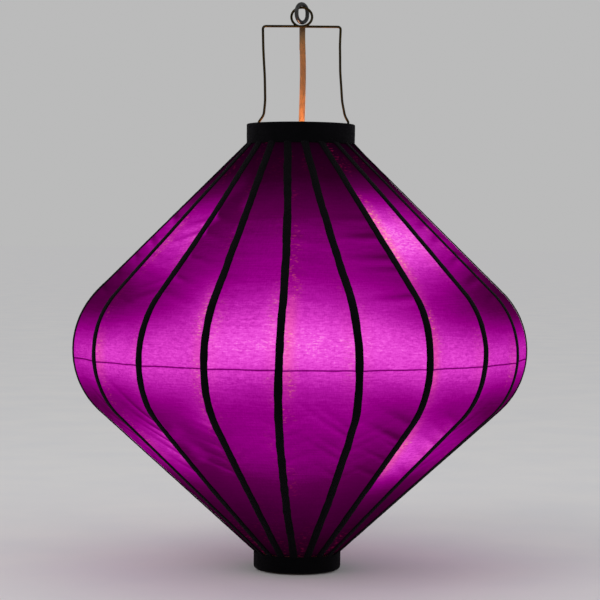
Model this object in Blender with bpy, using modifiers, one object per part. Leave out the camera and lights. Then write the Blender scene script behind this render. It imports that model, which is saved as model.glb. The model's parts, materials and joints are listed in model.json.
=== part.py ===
"""A collapsible silk lantern of diamond shape, open and ready to hang.

Twenty bamboo ribs run from a turned wooden ring at the bottom, out over the waist and in to a larger
ring at the top. Silk gores close the spaces between them and a black braid covers every rib. A wire
hanger stands in the bottom ring, passes up through the top ring, holds it down with two shoulders and
ends in a bar with an eye. A lamp hangs from the bar on its cord.

The origin is the centre of the bottom ring's underside. +Z is up and the hanger lies in the XZ plane.
"""

import math

import bmesh
import bpy
from mathutils import Matrix, Vector

MM = 0.001

# overall form
RIBS = 20
FIRST_RIB_AZIMUTH = math.radians(-93.2)     # the front rib stands 3.2 degrees to the left of -Y
APEX = Vector((265.0, 219.1)) * MM          # where the straight flanks would meet: radius, height
BEND_RADIUS = 82.0 * MM                     # of the shell's outer surface over the waist
TWIST = 9.0 * MM                            # each rib's top end is set this far to the left

# rings
TOP_RING_UNDERSIDE = 425.8 * MM
TOP_RING_HEIGHT = 18.1 * MM
TOP_RING_RADIUS = 52.4 * MM
TOP_RING_HOLE = 40.5 * MM
TOP_BAND_RADIUS = 54.0 * MM
BOTTOM_RING_HEIGHT = 17.5 * MM
BOTTOM_RING_RADIUS = 42.2 * MM
BOTTOM_RING_HOLE = 27.0 * MM
BOTTOM_BAND_RADIUS = 43.5 * MM
BAND_THICKNESS = 1.2 * MM
RING_STEPS = 40

# ribs and what lies on them, in layers from the outer surface inwards
BRAID_WIDTH = 7.6 * MM
BRAID_THICKNESS = 1.0 * MM
SILK_THICKNESS = 0.3 * MM
RIB_SURFACE = 2.4 * MM                      # depth of the rib's outer face below the braid's
RIB_WIDTH = 5.2 * MM
TONGUE_WIDTH = 4.0 * MM
TONGUE_DEPTH = 4.2 * MM
BEND_THICKNESS = 2.6 * MM
PIN_HOLE_RADIUS = 1.35 * MM
PIN_WIRE_RADIUS = 0.5 * MM
GAP = 0.3 * MM
EDGE_GAP = 0.5 * MM                         # cloth stops this far short of a ring's corner
HEM = 1.5 * MM                              # width of the tape that joins the braids at each ring

# pivots
TOP_PIVOT_BEYOND = 7.5 * MM                 # past the ring's corner, along the flank
BOTTOM_PIVOT_BEYOND = 9.8 * MM
ELBOW = Vector((233.0, 227.2)) * MM         # where a rib's halves turn on each other: radius, height
UPPER_BEND_STEPS = 3
LOWER_BEND_STEPS = 4

# hanger
WIRE_RADIUS = 1.25 * MM
BAR_HEIGHT = 542.3 * MM
BAR_HALF_LENGTH = 39.0 * MM
SHOULDER_REACH = 45.2 * MM
FOOT_HEIGHT = 7.0 * MM
FOOT_REACH = 33.0 * MM
EYE_RADIUS = 9.4 * MM
EYE_STEPS = 20

# oval link on the eye
LINK_WIRE_RADIUS = 2.0 * MM
LINK_LENGTH = 22.6 * MM
LINK_WIDTH = 18.0 * MM
LINK_TURN = math.radians(35.0)

# lamp
CORD_RADIUS = 2.85 * MM
WAIST_THREAD_RADIUS = 0.5 * MM
WAIST_THREAD_HEIGHT = 213.3 * MM
HOLDER_TOP = 330.0 * MM
BULB_CENTRE = 236.0 * MM
BULB_RADIUS = 22.5 * MM
LAMP_STEPS = 20


for old in list(bpy.data.objects):
    bpy.data.objects.remove(old, do_unlink=True)

lantern = bpy.data.collections.new("silk_lantern")
cutters = bpy.data.collections.new("cutters")
bpy.context.scene.collection.children.link(lantern)
bpy.context.scene.collection.children.link(cutters)


def material(name, colour, roughness, metallic=0.0):
    """A plain Principled material."""
    m = bpy.data.materials.new(name)
    m.use_nodes = True
    shader = m.node_tree.nodes["Principled BSDF"]
    shader.inputs["Base Color"].default_value = (*colour, 1.0)
    shader.inputs["Roughness"].default_value = roughness
    shader.inputs["Metallic"].default_value = metallic
    return m


def place(name, data, colour=(0.5, 0.5, 0.5), roughness=0.6, metallic=0.0, smooth=False):
    """A named object holding this mesh or curve, with a material of its own."""
    thing = bpy.data.objects.new(name, data)
    lantern.objects.link(thing)
    if not data.materials:
        data.materials.append(None)
    thing.material_slots[0].link = "OBJECT"
    thing.material_slots[0].material = material(name, colour, roughness, metallic)
    if thing.type == "MESH":
        for face in data.polygons:
            face.use_smooth = smooth
    return thing


def cutter(name, mesh):
    """A cutting body, kept apart from the parts and out of renders."""
    thing = bpy.data.objects.new(name, mesh)
    cutters.objects.link(thing)
    thing.hide_render = True
    thing.display_type = "WIRE"
    return thing


def cut(thing, tool):
    """Cuts the tool's shape out of a part."""
    step = thing.modifiers.new("cut", "BOOLEAN")
    step.operation = "DIFFERENCE"
    step.solver = "EXACT"
    step.object = tool


def finished_mesh(thing, name):
    """The part's mesh with its modifiers carried out."""
    bpy.context.view_layer.update()
    graph = bpy.context.evaluated_depsgraph_get()
    mesh = bpy.data.meshes.new_from_object(thing.evaluated_get(graph))
    mesh.name = name
    return mesh


def mesh_from(name, points, faces):
    """A mesh from points and faces, with every face turned outwards."""
    mesh = bpy.data.meshes.new(name)
    mesh.from_pydata([tuple(p) for p in points], [], faces)
    shell = bmesh.new()
    shell.from_mesh(mesh)
    bmesh.ops.recalc_face_normals(shell, faces=shell.faces)
    shell.to_mesh(mesh)
    shell.free()
    return mesh


def turned(name, profile, steps, **look):
    """A turned part, spun about Z from (radius, height) points; a profile off the axis is closed."""
    area = sum(a[0] * b[1] - b[0] * a[1] for a, b in zip(profile, profile[1:] + profile[:1]))
    if area > 0.0:
        profile = profile[::-1]
    mesh = bpy.data.meshes.new(name)
    edges = [(i, i + 1) for i in range(len(profile) - 1)]
    if profile[0][0] > 0.0:
        edges.append((len(profile) - 1, 0))
    mesh.from_pydata([(r, 0.0, z) for r, z in profile], edges, [])
    thing = place(name, mesh, smooth=True, **look)
    spin = thing.modifiers.new("turn", "SCREW")
    spin.axis = "Z"
    spin.angle = 2.0 * math.pi
    spin.steps = steps
    spin.render_steps = steps
    spin.use_smooth_shade = True
    spin.use_merge_vertices = True
    spin.merge_threshold = 0.00001
    return thing


def wire(name, path, radius, fineness=2, closed=False, **look):
    """A round wire, thread or cord along a path of points."""
    curve = bpy.data.curves.new(name, "CURVE")
    curve.dimensions = "3D"
    line = curve.splines.new("POLY")
    line.points.add(len(path) - 1)
    for knot, p in zip(line.points, path):
        knot.co = (*p, 1.0)
    line.use_cyclic_u = closed
    line.use_smooth = True
    curve.bevel_depth = radius
    curve.bevel_resolution = fineness
    curve.use_fill_caps = not closed
    return place(name, curve, **look)


def drill(name, start, end, radius):
    """An eight-sided drill from one point to another."""
    rod = bmesh.new()
    along = end - start
    swing = along.to_track_quat("Z", "Y").to_matrix().to_4x4()
    bmesh.ops.create_cone(rod, cap_ends=True, segments=8, radius1=radius, radius2=radius,
                          depth=along.length, matrix=Matrix.Translation((start + end) / 2.0) @ swing)
    mesh = bpy.data.meshes.new(name)
    rod.to_mesh(mesh)
    rod.free()
    return cutter(name, mesh)


# ---------------------------------------------------------------- the shell's outline

TOP_CORNER = Vector((TOP_BAND_RADIUS - 0.5 * MM, TOP_RING_UNDERSIDE))
BOTTOM_CORNER = Vector((BOTTOM_BAND_RADIUS, BOTTOM_RING_HEIGHT + GAP))
up_flank = (TOP_CORNER - APEX).normalized()
down_flank = (BOTTOM_CORNER - APEX).normalized()
half_angle = up_flank.angle(down_flank) / 2.0
tangent_length = BEND_RADIUS / math.tan(half_angle)
BEND_TOP = APEX + up_flank * tangent_length
BEND_BOTTOM = APEX + down_flank * tangent_length
up_normal = Vector((up_flank.y, -up_flank.x))
down_normal = Vector((-down_flank.y, down_flank.x))
BEND_CENTRE = BEND_TOP - up_normal * BEND_RADIUS
TOP_ANGLE = math.atan2(up_normal.y, up_normal.x)
BOTTOM_ANGLE = math.atan2(down_normal.y, down_normal.x)
SPLIT_ANGLE = math.atan2(ELBOW.y - BEND_CENTRE.y, ELBOW.x - BEND_CENTRE.x)
TOP_FLANK = (TOP_CORNER - BEND_TOP).length
BOTTOM_FLANK = (BOTTOM_CORNER - BEND_BOTTOM).length


class Station:
    """One cross-section of the shell: a point of its outer surface, its normal and its sideways set."""

    def __init__(self, point, normal, set_left=0.0):
        self.point = point
        self.normal = normal
        self.set_left = set_left

    def at(self, depth, across=0.0):
        """The point this far below the surface and this far across, with X outwards and Y along the waist."""
        p = self.point - self.normal * depth
        return Vector((p.x, across - self.set_left, p.y))


def on_top_flank(distance):
    """The station this far up the top flank from the bend."""
    return Station(BEND_TOP + up_flank * distance, up_normal, TWIST * distance / TOP_FLANK)


def on_bottom_flank(distance):
    """The station this far down the bottom flank from the bend."""
    return Station(BEND_BOTTOM + down_flank * distance, down_normal)


def on_bend(angle):
    """The station at this angle round the bend."""
    normal = Vector((math.cos(angle), math.sin(angle)))
    return Station(BEND_CENTRE + normal * BEND_RADIUS, normal)


def bend_stations(first, last, steps):
    """Stations round the bend from one angle to another, without the first."""
    return [on_bend(first + (last - first) * (i + 1) / steps) for i in range(steps)]


top_pivot_distance = TOP_FLANK + TOP_PIVOT_BEYOND
bottom_pivot_distance = BOTTOM_FLANK + BOTTOM_PIVOT_BEYOND
top_pivot_point = on_top_flank(top_pivot_distance).at(RIB_SURFACE + TONGUE_DEPTH / 2.0)
bottom_pivot_point = on_bottom_flank(bottom_pivot_distance).at(RIB_SURFACE + TONGUE_DEPTH / 2.0)
TOP_PIVOT = Vector((top_pivot_point.x, top_pivot_point.z))
BOTTOM_PIVOT = Vector((bottom_pivot_point.x, bottom_pivot_point.z))
top_set = -top_pivot_point.y


# ---------------------------------------------------------------- ribs


def rib_half(name, sections):
    """A rib half from sections of (station, outer depth, inner depth, width)."""
    points = []
    for station, outer, inner, width in sections:
        for depth, side in ((outer, -0.5), (outer, 0.5), (inner, 0.5), (inner, -0.5)):
            points.append(station.at(depth, side * width))
    faces = [(0, 1, 2, 3)]
    for i in range(len(sections) - 1):
        for k in range(4):
            a = 4 * i + k
            b = 4 * i + (k + 1) % 4
            faces.append((a, b, b + 4, a + 4))
    last = 4 * (len(sections) - 1)
    faces.append((last, last + 1, last + 2, last + 3))
    return mesh_from(name, points, faces)


def tongue(flank, pivot_distance):
    """Sections of the rounded tongue round a pivot, from its root to its tip."""
    middle = RIB_SURFACE + TONGUE_DEPTH / 2.0
    radius = TONGUE_DEPTH / 2.0
    sections = []
    for angle in (10.0, 42.0, 72.0):
        reach = pivot_distance + radius * math.sin(math.radians(angle))
        half = radius * math.cos(math.radians(angle))
        sections.append((flank(reach), middle - half, middle + half, TONGUE_WIDTH))
    return sections


def rib_body(stations):
    """Sections of a rib's bending part at full width."""
    return [(s, RIB_SURFACE, RIB_SURFACE + BEND_THICKNESS, RIB_WIDTH) for s in stations]


split_half = math.asin(GAP / 2.0 / BEND_RADIUS)
upper_bend = bend_stations(SPLIT_ANGLE + split_half, TOP_ANGLE, UPPER_BEND_STEPS)
lower_bend = bend_stations(SPLIT_ANGLE - split_half, BOTTOM_ANGLE, LOWER_BEND_STEPS)
upper_sections = rib_body([on_bend(SPLIT_ANGLE + split_half)] + upper_bend)
upper_sections += tongue(on_top_flank, top_pivot_distance)
lower_sections = rib_body([on_bend(SPLIT_ANGLE - split_half)] + lower_bend)
lower_sections += tongue(on_bottom_flank, bottom_pivot_distance)


def drilled_rib(name, sections, pivot, set_left):
    """A rib half with the hole for its ring's wire drilled across the tongue."""
    blank = place(name + "_blank", rib_half(name + "_blank", sections))
    ends = [Vector((pivot.x, y - set_left, pivot.y)) for y in (-6.0 * MM, 6.0 * MM)]
    bit = drill(name + "_drill", ends[0], ends[1], PIN_HOLE_RADIUS)
    cut(blank, bit)
    mesh = finished_mesh(blank, name)
    bpy.data.objects.remove(blank, do_unlink=True)
    bpy.data.objects.remove(bit, do_unlink=True)
    return mesh


upper_mesh = drilled_rib("rib_upper", upper_sections, TOP_PIVOT, top_set)
lower_mesh = drilled_rib("rib_lower", lower_sections, BOTTOM_PIVOT, 0.0)
upper_mesh.transform(Matrix.Translation((-ELBOW.x, 0.0, -ELBOW.y)))
lower_mesh.transform(Matrix.Translation((-BOTTOM_PIVOT.x, 0.0, -BOTTOM_PIVOT.y)))


def azimuth(i):
    """The direction of rib i about Z, from +X."""
    return FIRST_RIB_AZIMUTH + 2.0 * math.pi * i / RIBS


def radial(i, radius, height):
    """A point on rib i's own plane."""
    return Vector((radius * math.cos(azimuth(i)), radius * math.sin(azimuth(i)), height))


for i in range(RIBS):
    for half, mesh, pivot in (("lower", lower_mesh, BOTTOM_PIVOT), ("upper", upper_mesh, ELBOW)):
        rib = place(f"rib_{i:02d}_{half}", mesh, colour=(0.62, 0.44, 0.22), roughness=0.55)
        rib.location = radial(i, pivot.x, pivot.y)
        rib.rotation_euler.z = azimuth(i)


# ---------------------------------------------------------------- silk, braids and waist thread

flank_lengths = (TOP_FLANK - EDGE_GAP, TOP_FLANK - EDGE_GAP - HEM, TOP_FLANK / 2.0, 0.0)
cloth_stations = [on_top_flank(length) for length in flank_lengths]
cloth_stations += bend_stations(TOP_ANGLE, SPLIT_ANGLE, UPPER_BEND_STEPS)
cloth_stations += bend_stations(SPLIT_ANGLE, BOTTOM_ANGLE, LOWER_BEND_STEPS)
cloth_stations.append(on_bottom_flank(BOTTOM_FLANK - EDGE_GAP - HEM))
cloth_stations.append(on_bottom_flank(BOTTOM_FLANK - EDGE_GAP))


def strip(edges):
    """Points and faces of a long thin solid from its four long edges, each a list of points."""
    count = len(edges[0])
    points = [edge[i] for i in range(count) for edge in edges]
    faces = [(0, 1, 2, 3), tuple(4 * (count - 1) + k for k in range(4))]
    for i in range(count - 1):
        for k in range(4):
            a = 4 * i + k
            b = 4 * i + (k + 1) % 4
            faces.append((a, b, b + 4, a + 4))
    return points, faces


def gather(name, solids):
    """One mesh holding several separate solids."""
    points = []
    faces = []
    for some_points, some_faces in solids:
        first = len(points)
        points += some_points
        faces += [tuple(first + k for k in face) for face in some_faces]
    return mesh_from(name, points, faces)


def turned_to(i, point):
    """A point of a rib's own frame, carried to rib i."""
    return Matrix.Rotation(azimuth(i), 3, "Z") @ point


def silk_cover():
    """The gores, glued edge to edge along the ribs: a thin shell, open at both rings."""
    outer = BRAID_THICKNESS + GAP
    inner = outer + SILK_THICKNESS
    count = len(cloth_stations)
    points = []
    for i in range(RIBS):
        for depth in (outer, inner):
            points += [turned_to(i, s.at(depth)) for s in cloth_stations]
    faces = []
    for i in range(RIBS):
        here = 2 * count * i
        there = 2 * count * ((i + 1) % RIBS)
        for skin in (0, count):
            for k in range(count - 1):
                faces.append((here + skin + k, there + skin + k, there + skin + k + 1, here + skin + k + 1))
        for k in (0, count - 1):
            faces.append((here + k, there + k, there + count + k, here + count + k))
    return mesh_from("silk_cover", points, faces)


def rib_braids():
    """The trim over the ribs. A narrow hem at each ring joins the twenty braids."""
    count = len(cloth_stations)
    points = []
    faces = []
    corners = ((-0.5, 0.0), (0.5, 0.0), (0.5, BRAID_THICKNESS), (-0.5, BRAID_THICKNESS))
    for i in range(RIBS):
        here = 4 * count * i
        there = 4 * count * ((i + 1) % RIBS)
        for s in cloth_stations:
            points += [turned_to(i, s.at(depth, across * BRAID_WIDTH)) for across, depth in corners]
        for k in range(count - 1):
            hem = k in (0, count - 2)
            row = here + 4 * k
            for edge in range(4):
                if hem and edge in (1, 3):
                    continue
                a = row + edge
                b = row + (edge + 1) % 4
                faces.append((a, b, b + 4, a + 4))
            if hem:
                next_row = there + 4 * k
                faces.append((row + 1, next_row, next_row + 4, row + 5))
                faces.append((row + 2, next_row + 3, next_row + 7, row + 6))
                faces.append((row + 1, next_row, next_row + 3, row + 2))
                faces.append((row + 5, next_row + 4, next_row + 7, row + 6))
        faces.append(tuple(here + k for k in range(4)))
        faces.append(tuple(here + 4 * (count - 1) + k for k in range(4)))
    return mesh_from("rib_braids", points, faces)


place("silk_cover", silk_cover(), colour=(0.45, 0.02, 0.36))
place("rib_braids", rib_braids(), colour=(0.012, 0.011, 0.013))

thread_depth = RIB_SURFACE + BEND_THICKNESS + GAP + WAIST_THREAD_RADIUS
thread_drop = WAIST_THREAD_HEIGHT - BEND_CENTRE.y
thread_radius = BEND_CENTRE.x + math.sqrt((BEND_RADIUS - thread_depth) ** 2 - thread_drop ** 2)
thread_path = [radial(i, thread_radius - 0.7 * MM, WAIST_THREAD_HEIGHT) for i in range(RIBS)]
wire("waist_thread", thread_path, WAIST_THREAD_RADIUS, fineness=1, closed=True, colour=(0.03, 0.02, 0.03))


# ---------------------------------------------------------------- rings


def slots(name, pivot, set_left, opening, depth):
    """Twenty radial slots, one for each tongue, open at the ring's face and rim."""
    width = TONGUE_WIDTH / 2.0 + 0.35 * MM
    inner = pivot.x - TONGUE_DEPTH / 2.0 - 0.5 * MM
    outer = pivot.x + 25.0 * MM
    solids = []
    for i in range(RIBS):
        edges = []
        for x, z in ((inner, opening), (outer, opening), (outer, depth), (inner, depth)):
            edges.append([turned_to(i, Vector((x, y - set_left, z))) for y in (-width, width)])
        solids.append(strip(edges))
    return cutter(name, gather(name, solids))


def rounded(centre, radius, angles):
    """Points of a rounded lower corner, at these angles below the horizontal."""
    turns = [math.radians(angle) for angle in angles]
    return [(centre[0] + radius * math.cos(t), centre[1] - radius * math.sin(t)) for t in turns]


WOOD = {"colour": (0.10, 0.055, 0.03), "roughness": 0.5}
CLOTH = {"colour": (0.012, 0.012, 0.014), "roughness": 0.9}
STEEL = {"colour": (0.45, 0.43, 0.40), "roughness": 0.4, "metallic": 1.0}
GROOVE = PIN_WIRE_RADIUS + GAP
CHAMFER = 1.0 * MM

top_face = TOP_RING_UNDERSIDE + TOP_RING_HEIGHT
top_wire_radius = math.hypot(TOP_PIVOT.x, top_set)
top_ring = turned("top_ring", [
    (TOP_RING_HOLE, TOP_RING_UNDERSIDE),
    (top_wire_radius - GROOVE, TOP_RING_UNDERSIDE),
    (top_wire_radius - GROOVE, TOP_PIVOT.y + GROOVE),
    (top_wire_radius + GROOVE, TOP_PIVOT.y + GROOVE),
    (top_wire_radius + GROOVE, TOP_RING_UNDERSIDE),
    (TOP_RING_RADIUS, TOP_RING_UNDERSIDE),
    (TOP_RING_RADIUS, top_face),
    (TOP_RING_HOLE + CHAMFER, top_face),
    (TOP_RING_HOLE, top_face - CHAMFER),
], RING_STEPS, **WOOD)
top_slots = slots("top_slots", TOP_PIVOT, top_set, TOP_RING_UNDERSIDE - 5.0 * MM,
                  TOP_PIVOT.y + TONGUE_DEPTH / 2.0 + 0.6 * MM)
cut(top_ring, top_slots)

corner = (BOTTOM_RING_RADIUS - 4.0 * MM, 4.0 * MM)
bottom_ring = turned("bottom_ring", [
    (BOTTOM_RING_HOLE, BOTTOM_RING_HEIGHT),
    (BOTTOM_PIVOT.x - GROOVE, BOTTOM_RING_HEIGHT),
    (BOTTOM_PIVOT.x - GROOVE, BOTTOM_PIVOT.y - GROOVE),
    (BOTTOM_PIVOT.x + GROOVE, BOTTOM_PIVOT.y - GROOVE),
    (BOTTOM_PIVOT.x + GROOVE, BOTTOM_RING_HEIGHT),
    (BOTTOM_RING_RADIUS, BOTTOM_RING_HEIGHT),
    *rounded(corner, 4.0 * MM, (0.0, 45.0, 90.0)),
    (BOTTOM_RING_HOLE, 0.0),
], RING_STEPS, **WOOD)
bottom_slots = slots("bottom_slots", BOTTOM_PIVOT, 0.0, BOTTOM_RING_HEIGHT + 5.0 * MM,
                     BOTTOM_PIVOT.y - TONGUE_DEPTH / 2.0 - 0.6 * MM)
cut(bottom_ring, bottom_slots)
for side in (-1.0, 1.0):
    foot_end = Vector((side * (FOOT_REACH + 1.5 * MM), 0.0, FOOT_HEIGHT))
    foot_start = Vector((side * (BOTTOM_RING_HOLE - 5.0 * MM), 0.0, FOOT_HEIGHT))
    cut(bottom_ring, drill(f"foot_hole_{side:+.0f}", foot_start, foot_end, WIRE_RADIUS + 0.45 * MM))

band_bore = TOP_BAND_RADIUS - BAND_THICKNESS
band_top = top_face + GAP + 0.6 * MM
turned("top_ring_band", [
    (band_bore, TOP_RING_UNDERSIDE),
    (TOP_BAND_RADIUS - 0.6 * MM, TOP_RING_UNDERSIDE),
    (TOP_BAND_RADIUS, TOP_RING_UNDERSIDE + 0.8 * MM),
    (TOP_BAND_RADIUS, band_top - 1.4 * MM),
    (TOP_BAND_RADIUS - 1.4 * MM, band_top),
    (band_bore - 2.6 * MM, band_top),
    (band_bore - 2.6 * MM, top_face + GAP),
    (band_bore, top_face + GAP),
], RING_STEPS, **CLOTH)
turned("bottom_ring_band", [
    (BOTTOM_BAND_RADIUS, BOTTOM_RING_HEIGHT + GAP),
    *rounded(corner, BOTTOM_BAND_RADIUS - corner[0], (0.0, 25.0, 45.0)),
    *rounded(corner, 4.0 * MM + GAP, (45.0, 0.0)),
    (BOTTOM_RING_RADIUS + GAP, BOTTOM_RING_HEIGHT + GAP),
], RING_STEPS, **CLOTH)


def hoop(name, radius, height, first):
    """A closed ring of pivot wire whose straight runs pass squarely through the ribs' holes."""
    corners = []
    reach = radius / math.cos(math.pi / (2 * RIBS))
    for i in range(2 * RIBS):
        turn = first + 2.0 * math.pi * (i + 0.5) / (2 * RIBS)
        corners.append(Vector((reach * math.cos(turn), reach * math.sin(turn), height)))
    wire(name, corners, PIN_WIRE_RADIUS, fineness=1, closed=True, **STEEL)


hoop("top_rib_wire", top_wire_radius, TOP_PIVOT.y, azimuth(0) - math.asin(top_set / top_wire_radius))
hoop("bottom_rib_wire", BOTTOM_PIVOT.x, BOTTOM_PIVOT.y, azimuth(0))


# ---------------------------------------------------------------- hanger and link

shoulder = top_face + GAP + WIRE_RADIUS
through = TOP_RING_HOLE - WIRE_RADIUS - 0.4 * MM
half_lap = WIRE_RADIUS + GAP / 2.0
eye_centre = BAR_HEIGHT + EYE_RADIUS


def leg(side):
    """One leg's path, from the foot to the bar's end."""
    outline = [
        (FOOT_REACH, FOOT_HEIGHT),
        (BOTTOM_RING_HOLE - 3.0 * MM, FOOT_HEIGHT),
        (BOTTOM_RING_HOLE - 4.2 * MM, FOOT_HEIGHT + 1.4 * MM),
        (through - 2.5 * MM, TOP_RING_UNDERSIDE - 30.0 * MM),
        (through, TOP_RING_UNDERSIDE - 4.0 * MM),
        (through, shoulder - 2.6 * MM),
        (through + 1.0 * MM, shoulder - 0.4 * MM),
        (SHOULDER_REACH - 1.6 * MM, shoulder),
        (SHOULDER_REACH, shoulder + 1.8 * MM),
        (through + 0.6 * MM, shoulder + 13.0 * MM),
        (through - 0.9 * MM, shoulder + 40.0 * MM),
        (BAR_HALF_LENGTH, BAR_HEIGHT - 2.2 * MM),
        (BAR_HALF_LENGTH - 2.2 * MM, BAR_HEIGHT),
    ]
    path = [Vector((side * x, 0.0, z)) for x, z in outline]
    path[-2].y = side * half_lap / 2.0
    path[-1].y = side * half_lap
    return path


eye = []
for i in range(EYE_STEPS + 1):
    turn = -math.pi / 2.0 + 2.0 * math.pi * i / EYE_STEPS
    lap = -half_lap + 2.0 * half_lap * i / EYE_STEPS
    eye.append(Vector((EYE_RADIUS * math.cos(turn), lap, eye_centre + EYE_RADIUS * math.sin(turn))))
wire("wire_hanger", leg(-1.0) + eye + list(reversed(leg(1.0))), WIRE_RADIUS,
     colour=(0.52, 0.44, 0.26), roughness=0.35, metallic=1.0)

bow = LINK_WIDTH / 2.0 - LINK_WIRE_RADIUS
straight = LINK_LENGTH / 2.0 - LINK_WIRE_RADIUS - bow
link_middle = WIRE_RADIUS + GAP + LINK_WIRE_RADIUS - bow - straight
link_path = []
for i in range(16):
    turn = 2.0 * math.pi * (i + 0.5) / 16
    rise = math.copysign(straight, math.sin(turn)) + bow * math.sin(turn)
    flat = bow * math.cos(turn)
    link_path.append(Vector((flat * math.cos(LINK_TURN), flat * math.sin(LINK_TURN), link_middle + rise)))
link = wire("hook_link", link_path, LINK_WIRE_RADIUS, closed=True,
            colour=(0.015, 0.016, 0.018), roughness=0.35)
link.location = (0.0, 0.0, eye_centre + EYE_RADIUS)


# ---------------------------------------------------------------- lamp

PLASTIC = {"colour": (0.05, 0.05, 0.055), "roughness": 0.35}
BRASS = {"colour": (0.75, 0.60, 0.28), "roughness": 0.3, "metallic": 1.0}

behind = half_lap + WIRE_RADIUS + CORD_RADIUS + GAP
turn_radius = CORD_RADIUS + 0.6 * MM
cord_path = [
    Vector((0.0, 0.0, HOLDER_TOP - 6.0 * MM)),
    Vector((0.0, 0.0, TOP_RING_UNDERSIDE)),
    Vector((0.8 * MM, 1.6 * MM, BAR_HEIGHT - 60.0 * MM)),
    Vector((0.6 * MM, behind - 0.6 * MM, BAR_HEIGHT - 14.0 * MM)),
]
for i in range(7):
    turn = math.pi * i / 6.0
    cord_path.append(Vector((0.4 * MM, behind + turn_radius - turn_radius * math.cos(turn),
                             BAR_HEIGHT - 3.0 * MM + turn_radius * math.sin(turn))))
cord_path.append(Vector((0.4 * MM, behind + 2.0 * turn_radius, BAR_HEIGHT - 24.0 * MM)))
wire("lamp_cord", cord_path, CORD_RADIUS, fineness=3, colour=(0.80, 0.70, 0.48))

cord_hole = CORD_RADIUS + GAP
cap_foot = HOLDER_TOP - 26.0 * MM
turned("lampholder_cap", [
    (cord_hole, HOLDER_TOP),
    (6.0 * MM, HOLDER_TOP),
    (7.5 * MM, HOLDER_TOP - 8.0 * MM),
    (14.0 * MM, HOLDER_TOP - 17.0 * MM),
    (14.0 * MM, cap_foot),
    (12.2 * MM, cap_foot),
    (12.2 * MM, HOLDER_TOP - 18.0 * MM),
    (cord_hole, HOLDER_TOP - 10.0 * MM),
], LAMP_STEPS, **PLASTIC)

floor = cap_foot - GAP
bore = 8.0 * MM
turned("lampholder_shell", [
    (0.0, floor),
    (14.0 * MM, floor),
    (14.0 * MM, floor - 6.0 * MM),
    (12.6 * MM, floor - 8.0 * MM),
    (12.2 * MM, floor - 36.0 * MM),
    (bore, floor - 36.0 * MM),
    (bore, floor - 4.0 * MM),
    (0.0, floor - 4.0 * MM),
], LAMP_STEPS, **PLASTIC)

holder_contact = floor - 4.0 * MM - GAP
turned("lampholder_contact", [
    (0.0, holder_contact),
    (4.0 * MM, holder_contact),
    (4.0 * MM, holder_contact - 0.6 * MM),
    (0.0, holder_contact - 0.6 * MM),
], LAMP_STEPS, **BRASS)

bulb_contact = holder_contact - 0.6 * MM - GAP
turned("bulb_contact", [
    (0.0, bulb_contact),
    (1.6 * MM, bulb_contact),
    (2.6 * MM, bulb_contact - 1.6 * MM),
    (0.0, bulb_contact - 1.6 * MM),
], LAMP_STEPS, **BRASS)

cap_crown = bulb_contact - 1.6 * MM - GAP
cap_rim = cap_crown - 22.0 * MM
turned("bulb_cap", [
    (0.0, cap_crown),
    (3.0 * MM, cap_crown),
    (7.0 * MM, cap_crown - 3.0 * MM),
    (7.0 * MM, cap_rim),
    (6.5 * MM, cap_rim),
    (6.5 * MM, cap_crown - 3.4 * MM),
    (2.8 * MM, cap_crown - 0.6 * MM),
    (0.0, cap_crown - 0.6 * MM),
], LAMP_STEPS, **STEEL)

GLASS_WALL = 0.9 * MM
outside = []
inside = []
for angle in (-90.0, -65.0, -40.0, -15.0, 10.0, 35.0, 55.0):
    turn = math.radians(angle)
    for wall, radius in ((outside, BULB_RADIUS), (inside, BULB_RADIUS - GLASS_WALL)):
        wall.append((max(radius * math.cos(turn), 0.0) if angle > -90.0 else 0.0,
                     BULB_CENTRE + radius * math.sin(turn)))
outside += [(6.2 * MM, cap_rim - 3.0 * MM), (6.2 * MM, cap_rim + 6.0 * MM)]
inside += [(5.3 * MM, cap_rim - 3.2 * MM), (5.3 * MM, cap_rim + 6.0 * MM)]
turned("bulb_globe", inside + outside[::-1], LAMP_STEPS, colour=(0.95, 0.92, 0.85), roughness=0.3)
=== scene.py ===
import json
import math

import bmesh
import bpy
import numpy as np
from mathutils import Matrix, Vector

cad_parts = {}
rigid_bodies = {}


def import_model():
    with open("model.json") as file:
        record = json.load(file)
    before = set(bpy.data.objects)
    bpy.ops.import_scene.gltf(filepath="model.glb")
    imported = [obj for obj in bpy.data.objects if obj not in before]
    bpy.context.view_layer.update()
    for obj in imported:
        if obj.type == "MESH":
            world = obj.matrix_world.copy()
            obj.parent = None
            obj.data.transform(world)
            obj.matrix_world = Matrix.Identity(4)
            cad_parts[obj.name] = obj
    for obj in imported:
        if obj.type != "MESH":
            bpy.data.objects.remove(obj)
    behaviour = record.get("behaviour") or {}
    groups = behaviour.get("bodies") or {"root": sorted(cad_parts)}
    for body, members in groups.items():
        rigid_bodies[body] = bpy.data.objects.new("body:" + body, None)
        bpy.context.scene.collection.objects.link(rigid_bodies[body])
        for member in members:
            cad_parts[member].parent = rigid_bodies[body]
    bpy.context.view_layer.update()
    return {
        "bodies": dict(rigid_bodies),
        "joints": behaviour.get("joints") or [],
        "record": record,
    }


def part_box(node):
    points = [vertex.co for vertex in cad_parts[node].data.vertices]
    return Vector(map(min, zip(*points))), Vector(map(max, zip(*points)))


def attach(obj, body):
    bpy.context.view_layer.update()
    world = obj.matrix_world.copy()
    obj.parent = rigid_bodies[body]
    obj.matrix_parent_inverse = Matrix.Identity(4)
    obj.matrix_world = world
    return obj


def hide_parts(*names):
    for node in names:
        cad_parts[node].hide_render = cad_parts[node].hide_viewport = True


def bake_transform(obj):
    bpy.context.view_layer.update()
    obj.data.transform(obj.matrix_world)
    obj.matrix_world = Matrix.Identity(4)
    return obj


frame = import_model()

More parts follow.
